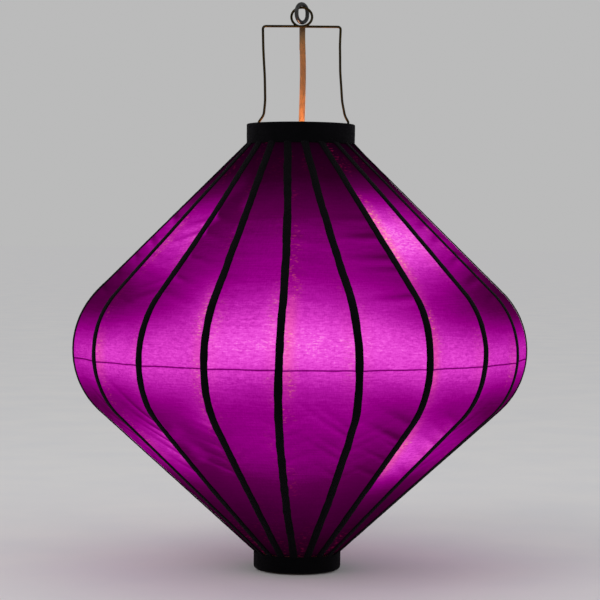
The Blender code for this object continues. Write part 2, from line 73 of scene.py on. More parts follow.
# The looks of a collapsible silk lantern of diamond shape, lit from inside.
#
# Silk gores, velvet braids and bamboo ribs follow the CAD's outline. When the lantern folds, the silk and
# the thread inside it are carried by a node modifier that turns every point in its own radial plane and
# gathers the silk into pleats.

MM = 0.001
UP = np.array((0.0, 0.0, 1.0))
TURN = 2.0 * math.pi

# the outline, as the CAD has it
RIBS = 20
FIRST_RIB = math.radians(-93.2)
APEX = np.array((265.0, 219.1)) * MM  # where the straight flanks would meet: radius, height
BEND_RADIUS = 82.0 * MM
TWIST = 9.0 * MM  # the ribs' upper ends stand this far round from the waist
CORNER_GAP = 0.5 * MM  # the cloth's outer edge, in from the top band's radius
TUCK = 0.6 * MM  # cloth runs this far in under a ring's corner
SILK_DEPTH = 1.3 * MM
SILK_THICKNESS = 0.3 * MM
BRAID_WIDTH = 7.6 * MM
BRAID_DEPTH = 1.15 * MM
RIB_DEPTH = 2.4 * MM
RIB_WIDTH = 5.2 * MM
RIB_THICKNESS = 2.6 * MM
TONGUE_WIDTH = 4.0 * MM
TONGUE_THICKNESS = 4.2 * MM
BAND_THICKNESS = 1.2 * MM

joints = {joint["name"]: joint for joint in frame["joints"]}
couplings = {c["joint"]: c["ratio"] for c in frame["record"]["behaviour"]["couplings"]}


def joint_point(name):
    """Radius and height of a joint's axis."""
    x, y, z = joints[name]["pos_m"]
    return np.array((math.hypot(x, y), z))


FOOT = joint_point("fold")
ELBOW = joint_point("rib_00_waist")
RING_PIVOT = joint_point("top_ring_level")
WAIST_RATIO = couplings["rib_00_waist"]

top_ring_low, top_ring_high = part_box("top_ring")
bottom_ring_low, bottom_ring_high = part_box("bottom_ring")
top_band_low, top_band_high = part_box("top_ring_band")
bottom_band_low, bottom_band_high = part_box("bottom_ring_band")
hanger_low, hanger_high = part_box("wire_hanger")
bulb_low, bulb_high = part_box("bulb_globe")
thread_low, thread_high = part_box("waist_thread")
link_low, link_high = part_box("hook_link")


# ---- small tools for shapes


def smooth(x):
    """Eases from 0 to 1."""
    x = np.clip(x, 0.0, 1.0)
    return x * x * (3.0 - 2.0 * x)


def bell(x, middle, width):
    """1 at the middle, falling to either side."""
    return np.exp(-((x - middle) / width) ** 2)


def lattice(cell, seed):
    """A fixed pseudo-random value from -1 to 1 for each whole-number cell."""
    n = cell[..., 0] * 374761393 + cell[..., 1] * 668265263 + cell[..., 2] * 1442695041 + seed * 974634777
    n = (n ^ (n >> 13)) * 1274126177
    n = n ^ (n >> 16)
    return (n & 0xFFFFFF) / float(0x7FFFFF) - 1.0


def roughen(points, size, seed=0):
    """Smooth noise from -1 to 1 at these points, with features of this size."""
    scaled = np.asarray(points) / size
    cell = np.floor(scaled).astype(np.int64)
    part = smooth(scaled - cell)
    total = 0.0
    for dx in (0, 1):
        for dy in (0, 1):
            for dz in (0, 1):
                weight = 1.0
                for k, d in enumerate((dx, dy, dz)):
                    weight = weight * (part[..., k] if d else 1.0 - part[..., k])
                total = total + weight * lattice(cell + np.array((dx, dy, dz)), seed)
    return total


def soften(points, radius, steps=4, closed=False):
    """A path with its corners rounded."""
    points = [np.array(p, float) for p in points]
    count = len(points)
    out = []
    for i, corner in enumerate(points):
        if not closed and i in (0, count - 1):
            out.append(corner)
            continue
        to_last = points[i - 1] - corner
        to_next = points[(i + 1) % count] - corner
        reach = min(radius, 0.48 * np.linalg.norm(to_last), 0.48 * np.linalg.norm(to_next))
        a = corner + to_last / np.linalg.norm(to_last) * reach
        b = corner + to_next / np.linalg.norm(to_next) * reach
        for k in range(steps + 1):
            s = k / steps
            out.append((1 - s) ** 2 * a + 2 * s * (1 - s) * corner + s * s * b)
    return out


def respaced(path, step, closed=False):
    """The path walked at even steps."""
    path = np.array(path)
    if closed:
        path = np.vstack((path, path[:1]))
    run = np.concatenate(([0.0], np.cumsum(np.linalg.norm(np.diff(path, axis=0), axis=1))))
    count = max(3, int(round(run[-1] / step)))
    at = np.linspace(0.0, run[-1], count + 1)
    even = np.stack([np.interp(at, run, path[:, k]) for k in range(3)], 1)
    return even[:-1] if closed else even


def in_scene(name, data):
    """A new object in the scene."""
    thing = bpy.data.objects.new(name, data)
    bpy.context.scene.collection.objects.link(thing)
    return thing


def piece(name, mesh, body, look, replaces=()):
    """A finished piece of the lantern: its object, material, slot and body."""
    thing = in_scene(name, mesh)
    mesh.materials.clear()
    mesh.materials.append(look)
    if body:
        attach(thing, body)
    if replaces:
        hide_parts(*replaces)
    return thing


def mesh_of(name, points, faces, smooth_faces=True):
    """A mesh from points and faces."""
    mesh = bpy.data.meshes.new(name)
    mesh.from_pydata([tuple(p) for p in points], [], faces)
    mesh.polygons.foreach_set("use_smooth", [smooth_faces] * len(mesh.polygons))
    mesh.update()
    return mesh


def loft(name, rings, cyclic=False):
    """A closed surface through rings of points; cyclic joins the last ring to the first."""
    rings = np.asarray(rings)
    rows, columns = rings.shape[:2]
    faces = []
    for r in range(rows if cyclic else rows - 1):
        here = r * columns
        there = ((r + 1) % rows) * columns
        for c in range(columns):
            d = (c + 1) % columns
            faces.append((here + c, here + d, there + d, there + c))
    if not cyclic:
        faces.append(tuple(range(columns))[::-1])
        faces.append(tuple((rows - 1) * columns + c for c in range(columns)))
    mesh = mesh_of(name, rings.reshape(-1, 3), faces)
    return outward(mesh)


def outward(mesh):
    """Turns the mesh's faces outwards."""
    shell = bmesh.new()
    shell.from_mesh(mesh)
    bmesh.ops.recalc_face_normals(shell, faces=shell.faces)
    shell.to_mesh(mesh)
    shell.free()
    mesh.update()
    return mesh


def carried_frames(path, closed=False):
    """Two side directions at every point of a path, carried along it without twisting."""
    ahead = np.roll(path, -1, 0) - np.roll(path, 1, 0)
    if not closed:
        ahead[0] = path[1] - path[0]
        ahead[-1] = path[-1] - path[-2]
    ahead /= np.linalg.norm(ahead, axis=1)[:, None]
    side = np.array((0.0, 1.0, 0.0)) if abs(ahead[0][1]) < 0.9 else np.array((1.0, 0.0, 0.0))
    sides = []
    for direction in ahead:
        side = side - direction * side.dot(direction)
        side = side / np.linalg.norm(side)
        sides.append(side)
    sides = np.array(sides)
    return sides, np.cross(ahead, sides)


def sweep(name, path, section, closed=False, turns=None):
    """A section of (across, up) points swept along a path; turns gives its roll at every point."""
    path = np.asarray(path)
    across, up = carried_frames(path, closed)
    section = np.asarray(section)
    if turns is not None:
        c, s = np.cos(turns)[:, None], np.sin(turns)[:, None]
        across, up = across * c + up * s, up * c - across * s
    rings = path[:, None] + across[:, None] * section[None, :, :1] + up[:, None] * section[None, :, 1:]
    return loft(name, rings, closed)


def circle(radius, count):
    """Points round a circle."""
    turn = np.arange(count) * TURN / count
    return np.stack((np.cos(turn), np.sin(turn)), 1) * radius


def spun(name, profile, steps=128, shift=None):
    """A turned solid from a closed profile of (radius, height); shift moves its points afterwards."""
    profile = np.array(profile)
    turn = np.arange(steps) * TURN / steps
    rings = np.stack((
        np.cos(turn)[:, None] * profile[None, :, 0],
        np.sin(turn)[:, None] * profile[None, :, 0],
        np.ones(steps)[:, None] * profile[None, :, 1],
    ), 2)
    if shift is not None:
        rings = shift(rings, turn)
    return loft(name, rings, cyclic=True)


# ---- the outline as a curve


class Outline:
    """The shell's outer surface along one rib, by distance down from the top ring's corner."""

    def __init__(self, top, bottom):
        self.up = (top - APEX) / np.linalg.norm(top - APEX)
        self.down = (bottom - APEX) / np.linalg.norm(bottom - APEX)
        reach = BEND_RADIUS / math.tan(math.acos(self.up.dot(self.down)) / 2.0)
        self.bend_top = APEX + self.up * reach
        self.bend_bottom = APEX + self.down * reach
        self.up_normal = np.array((self.up[1], -self.up[0]))
        self.down_normal = np.array((-self.down[1], self.down[0]))
        self.centre = self.bend_top - self.up_normal * BEND_RADIUS
        self.first_angle = math.atan2(self.up_normal[1], self.up_normal[0])
        last_angle = math.atan2(self.down_normal[1], self.down_normal[0])
        self.top_length = np.linalg.norm(top - self.bend_top)
        self.bend_length = BEND_RADIUS * (self.first_angle - last_angle)
        self.bottom_length = np.linalg.norm(bottom - self.bend_bottom)
        self.length = self.top_length + self.bend_length + self.bottom_length

    def at(self, distance, depth):
        """Radius, height and sideways set of points this far down and this deep below the surface."""
        d = np.asarray(distance, float)[..., None]
        past = d - self.top_length
        angle = self.first_angle - np.clip(past, 0.0, self.bend_length) / BEND_RADIUS
        normal = np.concatenate((np.cos(angle), np.sin(angle)), -1)
        point = self.centre + normal * BEND_RADIUS
        point = point + np.maximum(-past, 0.0) * self.up
        point = point + np.maximum(past - self.bend_length, 0.0) * self.down
        point = point - normal * np.asarray(depth, float)[..., None]
        left = TWIST * np.maximum(-past[..., 0], 0.0) / self.top_length
        return point[..., 0], point[..., 1], left

    def bend_share(self, distance):
        """1 in the middle of the bend and 0 on the flanks."""
        middle = self.top_length + self.bend_length / 2.0
        return smooth(1.35 - abs(distance - middle) / (self.bend_length / 2.0))


outline = Outline(
    np.array((top_band_high.x - CORNER_GAP, top_ring_low.z)),
    np.array((bottom_band_high.x, bottom_ring_high.z + 0.3 * MM)),
)


def directions(turn):
    """The outward and the sideways direction at this azimuth."""
    turn = np.asarray(turn, float)
    cos, sin, zero = np.cos(turn), np.sin(turn), np.zeros_like(turn)
    return np.stack((cos, sin, zero), -1), np.stack((-sin, cos, zero), -1)


def azimuth(i):
    """The direction of rib i from the axis."""
    return FIRST_RIB + TURN * i / RIBS


WANDER_SEED = 53285
BOW = 1.4 * MM  # how far a rib typically bows to one side
WAVE = 2.0 * MM  # how far it sways one way above the waist and the other way below
wander = np.random.default_rng(WANDER_SEED).standard_normal((RIBS, 2)) * np.array((BOW, WAVE))


def on_rib(i, distance, depth, across=0.0):
    """Points on rib i, this far down, this deep and this far across. No hand-set rib runs quite true."""
    radius, height, left = outline.at(distance, depth)
    run = math.pi * np.clip(np.asarray(distance) / outline.length, 0.0, 1.0)
    bow, wave = wander[i % RIBS]
    left = left - bow * np.sin(run) - wave * np.sin(2.0 * run)
    out, side = directions(azimuth(i))
    return radius[..., None] * out + (across - left)[..., None] * side + height[..., None] * UP


# ---- node trees


class Tree:
    """Short calls for putting nodes in a tree."""

    def __init__(self, tree):
        self.tree = tree
        tree.nodes.clear()

    def put(self, kind, *values, **settings):
        """A node with these settings, its first inputs fed with these sockets or values."""
        node = self.tree.nodes.new(kind)
        for name, value in settings.items():
            setattr(node, name, value)
        for socket, value in zip(node.inputs, values):
            self.feed(socket, value)
        return node

    def feed(self, socket, value):
        if value is None:
            return
        if isinstance(value, bpy.types.NodeSocket):
            self.tree.links.new(value, socket)
        else:
            socket.default_value = value

    def math(self, operation, a, b=None, c=None, clamp=False):
        return self.put("ShaderNodeMath", a, b, c, operation=operation, use_clamp=clamp).outputs[0]

    def vector(self, operation, a, b=None, c=None):
        node = self.put("ShaderNodeVectorMath", operation=operation)
        self.feed(node.inputs[0], a)
        self.feed(node.inputs[1], b)
        if operation == "SCALE":
            self.feed(node.inputs["Scale"], c)
        return node.outputs["Value" if operation in ("DOT_PRODUCT", "LENGTH") else "Vector"]

    def times(self, first, *more):
        """The product of these values."""
        for value in more:
            first = self.math("MULTIPLY", first, value)
        return first

    def plus(self, first, *more):
        """The sum of these values."""
        for value in more:
            first = self.math("ADD", first, value)
        return first

    def minus(self, a, b):
        return self.math("SUBTRACT", a, b)

    def dot(self, a, b):
        return self.vector("DOT_PRODUCT", a, b)

    def bell(self, x, width):
        """exp(-(x / width)^2)."""
        share = self.math("DIVIDE", x, width)
        return self.math("EXPONENT", self.times(share, share, -1.0))

    def noise(self, vector, scale, detail=2.0, roughness=0.5, distortion=0.0):
        node = self.put("ShaderNodeTexNoise", vector)
        values = {"Scale": scale, "Detail": detail, "Roughness": roughness, "Distortion": distortion}
        for name, value in values.items():
            self.feed(node.inputs[name], value)
        return node.outputs["Fac"]

    def stretch(self, vector, x, y, z):
        """The vector with its axes scaled."""
        return self.vector("MULTIPLY", vector, (x, y, z))

    def ramp(self, value, *stops):
        """A colour ramp through (position, colour) stops; a colour is a hex number in sRGB."""
        node = self.put("ShaderNodeValToRGB", value)
        band = node.color_ramp
        while len(band.elements) < len(stops):
            band.elements.new(1.0)
        for element, (position, colour) in zip(band.elements, stops):
            element.position = position
            element.color = (*linear(colour), 1.0)
        return node.outputs["Color"]

    def spread(self, value, low, high, to_low, to_high):
        """The value's range mapped on to another."""
        return self.put("ShaderNodeMapRange", value, low, high, to_low, to_high).outputs[0]

    def ease(self, value, low, high):
        """0 below the range, 1 above it and a smooth rise between."""
        node = self.put("ShaderNodeMapRange", value, low, high, interpolation_type="SMOOTHSTEP")
        return node.outputs[0]


def linear(colour):
    """Linear red, green and blue of an sRGB hex number."""
    channels = [((colour >> shift) & 255) / 255.0 for shift in (16, 8, 0)]
    return tuple(c / 12.92 if c <= 0.04045 else ((c + 0.055) / 1.055) ** 2.4 for c in channels)


class Surface(Tree):
    """A material's tree with one Principled shader."""

    def __init__(self, name, **values):
        self.material = bpy.data.materials.new(name)
        self.material.use_nodes = True
        super().__init__(self.material.node_tree)
        self.shader = self.put("ShaderNodeBsdfPrincipled")
        self.output = self.put("ShaderNodeOutputMaterial", self.shader.outputs[0])
        for socket, value in values.items():
            self.set(socket.replace("_", " "), value)

    def set(self, socket, value):
        self.feed(self.shader.inputs[socket], value)

    def colour(self, value, *stops):
        self.set("Base Color", self.ramp(value, *stops))

    def weave(self):
        """Coordinates in metres along and across the threads."""
        return self.put("ShaderNodeUVMap", uv_map="weave").outputs[0]

    def place(self):
        """Coordinates in metres that stay with the piece."""
        return self.put("ShaderNodeTexCoord").outputs["Object"]

    def attribute(self, name):
        return self.put("ShaderNodeAttribute", attribute_name=name)

    def mix(self, share, first, second):
        """Two colours mixed."""
        node = self.put("ShaderNodeMix", data_type="RGBA")
        self.feed(node.inputs[0], share)
        self.feed(node.inputs[6], first)
        self.feed(node.inputs[7], second)
        return node.outputs[2]

    def bump(self, height, distance, strength=1.0):
        node = self.put("ShaderNodeBump")
        for name, value in (("Height", height), ("Distance", distance), ("Strength", strength)):
            self.feed(node.inputs[name], value)
        self.set("Normal", node.outputs[0])


# ---- materials

LAMP_HEIGHT = (bulb_low.z + bulb_high.z) / 2.0 - 21.0 * MM  # the lit middle, low in the globe
BEND_MIDDLE = outline.top_length + outline.bend_length / 2.0  # distances down the silk
BEND_END = outline.top_length + outline.bend_length
UPPER_MIDDLE = 0.61 * outline.top_length
LOWER_MIDDLE = BEND_END + 48.0 * MM

THROUGH = 0.39  # light seen straight through the cloth
THROUGH_FALL = 2.3  # how fast it falls as the eye looks past the lamp
CONES = 0.41  # light that the threads pass on in cones
WARP_CONE = 0.166
WEFT_CONE = 0.514
SIDE_CONE = 0.52
BEND_GLOW = 0.51  # the band round the bend
BEND_GLOW_WIDTH = 36.0 * MM
UPPER_GLOW = 0.58  # the patch on each upper flank, and its width
UPPER_WIDTH = 56.0 * MM
LOWER_GLOW = 0.40
LOWER_WIDTH = 50.0 * MM
FACING = (0.775, 0.84)  # the cosines over which they fade as a gore turns to face the eye
FRONT_SHARE = 0.13  # what is left of the patches where the cloth faces the eye
TOP_SHADOW = 58.0 * MM  # how far the shadows of the rings and the rib ends reach
FOOT_SHADOW = 19.0 * MM
SHADOW_DEPTH = 0.9
STRAY_GLOW = 0.09  # light from all round
PUCKER_SHADE = 0.42
RIPPLE_DEPTH = 0.14
THREAD_SHADE = 0.40  # what the waist thread lets by
# painted warm light: the flush beside some ribs
FLUSH = 0.50
GLOW = (  # by how much silk passes light on: share and colour
    (0.00, 0x060004), (0.12, 0x26001A), (0.28, 0x580047), (0.46, 0x930082),
    (0.60, 0xB519A4), (0.76, 0xDD3CC9), (0.92, 0xF65AE2), (1.00, 0xFF86E8),
)


def flank_share(s, facing, to_eye):
    """How much of a patch shows: least where a gore faces the eye, most on the gores next to those."""
    level = (1.0, 1.0, 0.0)
    out_level = s.vector("NORMALIZE", s.vector("MULTIPLY", facing, level))
    eye_level = s.vector("NORMALIZE", s.vector("MULTIPLY", to_eye, level))
    turned = s.dot(out_level, eye_level)
    share = s.minus(1.0, s.ease(turned, *FACING))
    share = s.times(share, s.spread(turned, 0.30, 0.76, 0.55, 1.0))
    return s.math("MAXIMUM", share, FRONT_SHARE)


def lamp_glow(s, down):
    """The lamp's light through plain cloth, by the directions to the eye, the lamp and along the threads."""
    geometry = s.put("ShaderNodeNewGeometry")
    to_eye = geometry.outputs["Incoming"]
    facing = geometry.outputs["Normal"]
    from_lamp = s.vector("SUBTRACT", geometry.outputs["Position"], (0.0, 0.0, LAMP_HEIGHT))
    onward = s.vector("NORMALIZE", from_lamp)
    warp = s.put("ShaderNodeTangent", direction_type="UV_MAP", uv_map="weave").outputs[0]
    weft = s.vector("CROSS_PRODUCT", facing, warp)
    miss_warp = s.minus(s.dot(warp, onward), s.dot(warp, to_eye))
    miss_weft = s.minus(s.dot(weft, onward), s.dot(weft, to_eye))

    aside = s.minus(1.0, s.dot(onward, to_eye))
    through = s.times(s.math("EXPONENT", s.times(aside, -THROUGH_FALL)), THROUGH)
    cones = s.times(s.bell(miss_warp, WARP_CONE), s.bell(miss_weft, WEFT_CONE), CONES)
    sideways = s.minus(1.0, s.bell(miss_weft, SIDE_CONE))
    band_glow, upper, lower = [s.times(s.bell(s.minus(down, middle), wide), glow) for middle, wide, glow in (
        (BEND_MIDDLE, BEND_GLOW_WIDTH, BEND_GLOW),
        (UPPER_MIDDLE, UPPER_WIDTH, UPPER_GLOW),
        (LOWER_MIDDLE, LOWER_WIDTH, LOWER_GLOW),
    )]
    # painted light: each flank's patches are brightened or dimmed by its own random gain
    patch_gain = s.attribute("patch_brightness").outputs["Fac"]
    patches = s.times(s.plus(upper, lower), flank_share(s, facing, to_eye), patch_gain)
    return s.plus(through, cones, s.times(band_glow, sideways), patches, STRAY_GLOW)


def ring_shadows(s, glow, down):
    """The rings and the ends of the ribs hold light off the silk beside them."""
    for away, fade in ((down, -TOP_SHADOW), (s.minus(down, outline.length), FOOT_SHADOW)):
        shade = s.math("EXPONENT", s.math("DIVIDE", away, fade))
        glow = s.times(glow, s.minus(1.0, s.times(shade, SHADOW_DEPTH)))
    return glow


def thread_shadow(s, weave):
    """The waist thread inside shows as a thin dark line."""
    height = s.attribute("rest_height").outputs["Fac"]
    sway = s.times(s.minus(s.noise(weave, 40.0, 1.0), 0.5), 1.2 * MM)
    from_thread = s.plus(s.minus(height, (thread_low.z + thread_high.z) / 2.0), sway)
    return s.spread(s.bell(from_thread, 0.65 * MM), 0.0, 1.0, 1.0, THREAD_SHADE)


def painted_warm_light(s, seeded, glow):
    """Beside some ribs, painted warm light: a flush, and grains of the warm lamp itself."""
    warm_glow = s.attribute("warm_glow").outputs["Fac"]
    glints = s.noise(s.stretch(seeded, 560.0, 240.0, 1.0), 1.0, 1.0, 0.5)
    glints = s.math("MULTIPLY", s.minus(glints, 0.57), 9.0, clamp=True)
    clusters = s.ease(s.noise(s.stretch(seeded, 26.0, 60.0, 1.0), 1.0, 1.0), 0.42, 0.62)
    flush = s.times(warm_glow, FLUSH, s.ease(glow, 0.40, 0.78))
    seen = s.spread(glow, 0.28, 0.72, 0.25, 1.0)
    sparkle = s.math("MULTIPLY", s.times(glints, clusters, warm_glow), seen, clamp=True)
    colour = s.mix(flush, s.ramp(glow, *GLOW), s.ramp(glow, (0.40, 0xC01068), (0.90, 0xFF6F9C)))
    return s.mix(sparkle, colour, s.ramp(glow, (0.25, 0x9C1848), (0.50, 0xE05060), (0.85, 0xFFC49A)))


def silk_material():
    """Dyed silk with the lamp behind it.

    Threads pass light on in cones round their own directions, so the silk glows most where the eye looks
    through it towards the lamp, in a band round the bend, and in patches on gores turned from the eye.
    """
    s = Surface("silk", Roughness=0.55, Specular_IOR_Level=0.0)
    weave = s.weave()
    down = s.put("ShaderNodeSeparateXYZ", weave).outputs[0]
    glow = ring_shadows(s, lamp_glow(s, down), down)

    # creases turn the threads, so one side of each lets less light through
    pucker = s.attribute("pucker").outputs["Fac"]
    glow = s.times(glow, s.plus(1.0, s.times(pucker, PUCKER_SHADE)))

    # the weave only sparkles where much light comes through
    seeded = s.vector("ADD", weave, s.attribute("shift").outputs["Vector"])
    ripples = s.noise(s.stretch(seeded, 640.0, 210.0, 1.0), 1.0, 1.0, 0.5, 0.8)
    threads = s.noise(s.stretch(seeded, 260.0, 1500.0, 1.0), 1.0, 1.0, 0.5)
    slubs = s.noise(s.stretch(seeded, 900.0, 42.0, 1.0), 1.0, 1.0, 0.5)
    clouds = s.noise(s.stretch(seeded, 16.0, 16.0, 1.0), 1.0, 1.0, 0.5)
    ripple_depth = s.times(s.spread(glow, 0.40, 0.85, 0.15, 1.0), RIPPLE_DEPTH)
    for texture, depth in ((ripples, ripple_depth), (threads, 0.05), (slubs, 0.05), (clouds, 0.06)):
        swing = s.times(s.spread(texture, 0.25, 0.75, -1.0, 1.0), depth)
        glow = s.times(glow, s.plus(swing, 1.0))
    glow = s.times(glow, thread_shadow(s, weave))

    s.colour(ripples, (0.30, 0x0E000B), (0.70, 0x160012))
    s.set("Emission Color", painted_warm_light(s, seeded, glow))
    s.set("Emission Strength", 1.0)
    s.bump(s.plus(s.times(ripples, 0.5), s.times(threads, 0.5)), 0.15 * MM, 0.5)
    s.material.cycles.emission_sampling = "NONE"
    return s.material


def velvet_material(name, pile):
    """Black velvet: a short pile that catches a little light at its edges."""
    s = Surface(name, Roughness=0.95, Specular_IOR_Level=0.06, Sheen_Weight=0.05, Sheen_Roughness=0.5)
    at = s.place()
    tufts = s.noise(at, 1.0 / pile, 3.0, 0.7)
    worn = s.noise(at, 60.0, 2.0, 0.6)
    s.colour(s.times(tufts, worn), (0.10, 0x010102), (0.45, 0x060508))
    s.set("Sheen Tint", (*linear(0x8A8090), 1.0))
    s.bump(tufts, 0.5 * MM)
    return s.material


def bamboo_material():
    """Split bamboo: long fibres, a few darker streaks."""
    s = Surface("bamboo", Roughness=0.5)
    weave = s.weave()
    fibres = s.noise(s.stretch(weave, 18.0, 2600.0, 1.0), 1.0, 3.0, 0.7)
    patches = s.noise(s.stretch(weave, 9.0, 60.0, 1.0), 1.0, 2.0)
    tone = s.plus(s.times(fibres, 0.6), s.times(patches, 0.4))
    s.colour(tone, (0.30, 0x7A5426), (0.50, 0xB58A4C), (0.70, 0xD2AE72))
    s.bump(fibres, 0.3 * MM)
    return s.material


def wood_material():
    """Dark lacquered wood with grain across the ring."""
    s = Surface("ring_wood", Roughness=0.4, Coat_Weight=0.35, Coat_Roughness=0.25)
    at = s.place()
    bent = s.noise(at, 30.0, 2.0)
    grain = s.noise(s.vector("ADD", s.stretch(at, 40.0, 900.0, 500.0), bent), 1.0, 4.0, 0.6)
    s.colour(grain, (0.30, 0x1C0F08), (0.55, 0x3A2112), (0.75, 0x57341C))
    s.set("Roughness", s.spread(grain, 0.3, 0.7, 0.5, 0.32))
    s.bump(grain, 0.15 * MM)
    return s.material


def metal_material(name, dark, bright, rough, scratch=0.04 * MM):
    """Drawn or plated metal with tarnish and fine scratches."""
    s = Surface(name, Metallic=1.0)
    at = s.place()
    tarnish = s.noise(at, 90.0, 4.0, 0.65)
    scratches = s.noise(s.stretch(at, 60.0, 60.0, 2400.0), 1.0, 2.0)
    s.colour(tarnish, (0.35, dark), (0.62, bright))
    s.set("Roughness", s.spread(tarnish, 0.3, 0.7, rough + 0.2, rough))
    s.bump(scratches, scratch, 0.5)
    return s.material


def painted_material():
    """Black stove paint, worn a little where it rubs."""
    s = Surface("link_paint", Roughness=0.4)
    at = s.place()
    orange_peel = s.noise(at, 900.0, 2.0)
    chips = s.math("GREATER_THAN", s.noise(at, 260.0, 3.0, 0.7), 0.70)
    s.colour(chips, (0.0, 0x040405), (1.0, 0x2A2A2C))
    s.set("Metallic", s.times(chips, 0.8))
    s.bump(orange_peel, 0.06 * MM, 0.6)
    return s.material


def cord_material():
    """Cream cotton braid over a twin cord, with a crossing weave and some dirt; its brown-orange is the
    golden cream with painted orange lamp light in it.
    """
    s = Surface("cord_cloth", Roughness=0.8, Sheen_Weight=0.2)
    weave = s.weave()
    plait = s.put("ShaderNodeTexChecker")
    s.feed(plait.inputs["Vector"], s.stretch(weave, 1300.0, 1300.0, 1.0))
    s.feed(plait.inputs["Scale"], 1.0)
    dirt = s.noise(s.place(), 45.0, 4.0, 0.6)
    # partly painted lamp light: the cream is darkened to a warm brown-orange; the noise is dirt
    s.colour(dirt, (0.30, 0x5A3C18), (0.60, 0x855A28), (0.80, 0x9A6C38))
    s.bump(plait.outputs["Fac"], 0.2 * MM, 0.7)
    return s.material


def plastic_material():
    """Black moulded phenolic."""
    s = Surface("holder_plastic", Roughness=0.35)
    at = s.place()
    s.colour(s.noise(at, 220.0, 3.0), (0.35, 0x0E0E10), (0.65, 0x1D1B1E))
    s.bump(s.noise(at, 1400.0, 2.0), 0.05 * MM, 0.5)
    return s.material


def glass_material():
    """Frosted glass, lit by the filament inside."""
    s = Surface("bulb_glass", Roughness=0.5)
    at = s.place()
    frost = s.noise(at, 500.0, 2.0)
    s.colour(frost, (0.3, 0xE9E2D4), (0.7, 0xFFFBF2))
    s.set("Emission Color", s.ramp(frost, (0.3, 0xFFC98A), (0.7, 0xFFD9A6)))
    s.set("Emission Strength", 6.0)
    s.bump(frost, 0.05 * MM, 0.4)
    return s.material


def thread_material():
    """Dark twisted cotton thread."""
    s = Surface("waist_thread", Roughness=0.9)
    ply = s.noise(s.stretch(s.place(), 900.0, 900.0, 900.0), 1.0, 2.0)
    s.colour(ply, (0.35, 0x120A14), (0.65, 0x2C1C30))
    s.bump(ply, 0.2 * MM)
    return s.material


SILK = silk_material()
BRAID = velvet_material("braid_velvet", 0.7 * MM)
BAND = velvet_material("band_velvet", 0.5 * MM)
BAMBOO = bamboo_material()
WOOD = wood_material()
HANGER = metal_material("hanger_wire", 0x1E1A0C, 0x2E2612, 0.42, 0.01 * MM)
PIN = metal_material("pivot_wire", 0x5A5854, 0xA8A49A, 0.35)
BRASS = metal_material("contact_brass", 0x8F6F2F, 0xD6B15F, 0.25)
NICKEL = metal_material("cap_metal", 0x8C8984, 0xC9C6C0, 0.25)
PAINT = painted_material()
CORD = cord_material()
PLASTIC = plastic_material()
GLASS = glass_material()
THREAD = thread_material()


# ---- what follows the fold

FOLD_SPAN = 125.0 * MM  # the ribs bend over this much of their height to each side of the waist
fold_low = outline.centre[1] - FOLD_SPAN
fold_high = outline.centre[1] + FOLD_SPAN
PLEATS = 3
PLEAT_DEPTH = 0.053  # of the radius lost
GLUED = 3.3 * MM  # silk this near a rib's middle stays on the rib


class Fold(Tree):
    """The nodes that carry points as the ribs carry them, each in its own radial plane."""

    def read(self, name, kind="FLOAT"):
        node = self.put("GeometryNodeInputNamedAttribute", data_type=kind)
        node.inputs["Name"].default_value = name
        return next(socket for socket in node.outputs if socket.enabled and socket.name == "Attribute")

    def turn(self, point, centre, axis, angle):
        node = self.put("ShaderNodeVectorRotate", point, centre, axis, angle, rotation_type="AXIS_ANGLE")
        return node.outputs[0]

    def in_plane(self, radius_and_height):
        """A point of the outline, in the radial plane of the point that is carried."""
        radius, height = radius_and_height
        return self.vector("ADD", self.vector("SCALE", self.out, c=float(radius)), (0.0, 0.0, float(height)))

    def carried(self, point, upper_share):
        """The point turned with the lower rib, and by its share with the upper one."""
        bent = self.times(upper_share, WAIST_RATIO, self.opened)
        raised = self.turn(point, self.in_plane(ELBOW), self.side, bent)
        return self.turn(raised, self.in_plane(FOOT), self.vector("SCALE", self.side, c=-1.0), self.opened)

    def slide(self, narrowed):
        """How far a point moves sideways: gaps between ribs narrow, but silk on the ribs keeps its width."""
        reach = self.read("reach")
        span = self.read("span")
        away = self.math("ABSOLUTE", reach)
        glued = self.math("MINIMUM", away, GLUED)
        spare = self.math("DIVIDE", self.minus(away, glued), self.minus(span, GLUED))
        room = self.minus(self.times(span, narrowed), GLUED)
        wanted = self.plus(glued, self.times(spare, room))
        return self.times(self.minus(wanted, self.times(away, narrowed)), self.math("SIGN", reach))

    def build(self):
        source = self.put("NodeGroupInput")
        result = self.put("NodeGroupOutput")
        guide = self.put("GeometryNodeObjectInfo", transform_space="ORIGINAL")
        guide.inputs["Object"].default_value = frame["bodies"]["rib_00_lower"]
        self.opened = self.put("FunctionNodeRotationToAxisAngle", guide.outputs["Rotation"]).outputs["Angle"]
        self.out = self.read("out", "FLOAT_VECTOR")
        self.side = self.vector("CROSS_PRODUCT", tuple(UP), self.out)
        share = self.read("share")
        at = self.put("GeometryNodeInputPosition").outputs[0]

        moved = self.carried(at, share)
        before = self.dot(at, self.out)
        after = self.dot(moved, self.out)
        inward = self.times(self.minus(before, after), self.read("pleat"), -PLEAT_DEPTH)
        sideways = self.slide(self.math("DIVIDE", after, before))
        pleated = self.vector("ADD", moved, self.vector("SCALE", self.out, c=inward))
        pleated = self.vector("ADD", pleated, self.vector("SCALE", self.side, c=sideways))

        pivot = self.in_plane(RING_PIVOT)
        rise = self.vector("SCALE", self.vector("SUBTRACT", self.carried(pivot, 1.0), pivot), c=share)
        mixed = self.put("ShaderNodeMix", data_type="VECTOR")
        self.feed(mixed.inputs[0], self.read("hold"))
        self.feed(mixed.inputs[4], pleated)
        self.feed(mixed.inputs[5], self.vector("ADD", at, rise))
        store = self.put("GeometryNodeSetPosition")
        self.feed(store.inputs["Geometry"], source.outputs[0])
        self.feed(store.inputs["Position"], mixed.outputs[1])
        self.feed(result.inputs[0], store.outputs[0])


